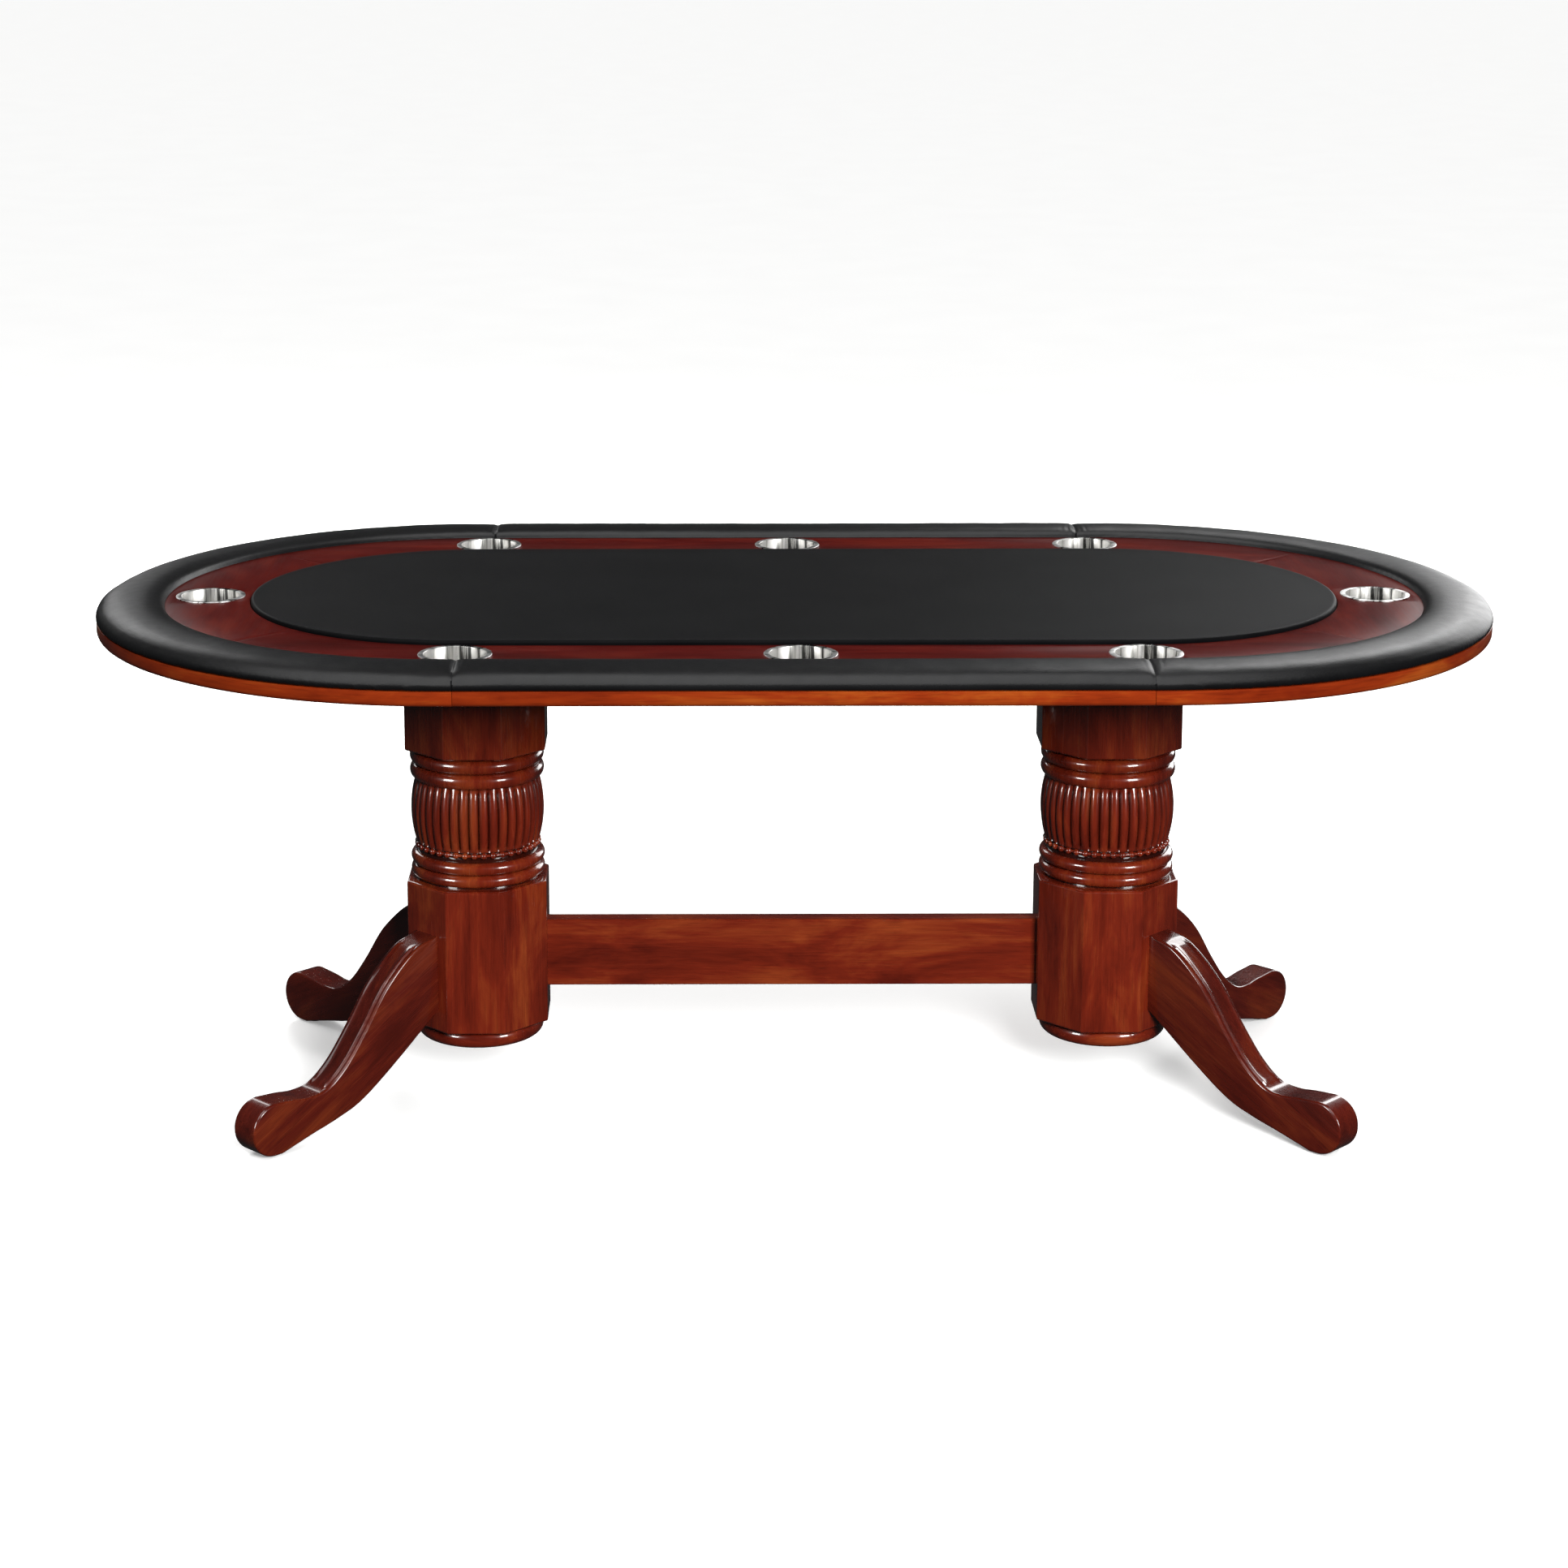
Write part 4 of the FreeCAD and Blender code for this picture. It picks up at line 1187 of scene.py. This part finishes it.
sparkling = bpy.data.collections.new("lit_by_the_strips")
glossy = (wood["pedestal"], wood["leg"], steel)
for piece in bpy.data.objects:
    if any(slot.material in glossy for slot in piece.material_slots):
        sparkling.objects.link(piece)
for name, x, y in [("front_left_strip", -3.5, -2.9), ("front_right_strip", 2.95, -3.35)]:
    low_strip = softbox(name, (x, y, 1.6), (0.14 * x, 0, 0.5), 1.25, 1.4, 140)
    low_strip.visible_diffuse = False
    low_strip.light_linking.receiver_collection = sparkling
for name, x, y, watts in [("front_fill", 1.3, -5.1, 460), ("back_fill", -1.3, 5.1, 220)]:
    fill = softbox(name, (x, y, 2.6), (0, 0, 0.4), 1.6, 1.4, watts)
    fill.visible_glossy = False
softbox("back_left_softbox", (-2.9, 5.0, 2.95), (-0.9, 0, 0.8), 1.5, 1.6, 26)
softbox("back_right_softbox", (3.7, 5.0, 2.05), (0.9, 0, 0.8), 2.6, 3.5, 125)
softbox("high_right_softbox", (2.0, 4.2, 3.7), (0.7, -0.4, 0.8), 1.7, 1.3, 36)
overhead = bpy.data.lights.new("overhead_dome", "SUN")
overhead.energy = 2.3
overhead.angle = math.radians(70)
dome = put_in_scene("overhead_dome", overhead)
dome.rotation_euler = (math.radians(12), math.radians(-8), 0)

world = bpy.data.worlds.new("studio")
bpy.context.scene.world = world
world.use_nodes = True
tree = world.node_tree
seen = node(tree, "ShaderNodeLightPath").outputs["Is Camera Ray"]
surround = node(tree, "ShaderNodeMix", [("Factor", seen), (6, colour("#2c2d2e")), (7, colour("#fdfdfc"))],
                data_type="RGBA").outputs[2]
tree.links.new(surround, tree.nodes["Background"].inputs["Color"])

# %% [markdown]
# ## The camera
# The camera stands 5 m in front of the table and a little left of its middle, above eye height, with a
# long lens. It looks down by 11.5 degrees, and the lens is shifted a little, which keeps upright things
# nearly upright.

# %% Camera
look_down, look_right = 11.47, 0.344
lens = bpy.data.cameras.new("camera")
lens.sensor_width = 36
lens.lens = 76.8
lens.shift_x = 0.04
lens.shift_y = -0.15
lens.clip_end = 500
camera = put_in_scene("camera", lens)
camera.location = (-0.141, -5.026, 1.880)
camera.rotation_euler = (math.radians(90 - look_down), 0, math.radians(-look_right))
bpy.context.scene.camera = camera
bpy.context.scene.view_settings.view_transform = "Standard"
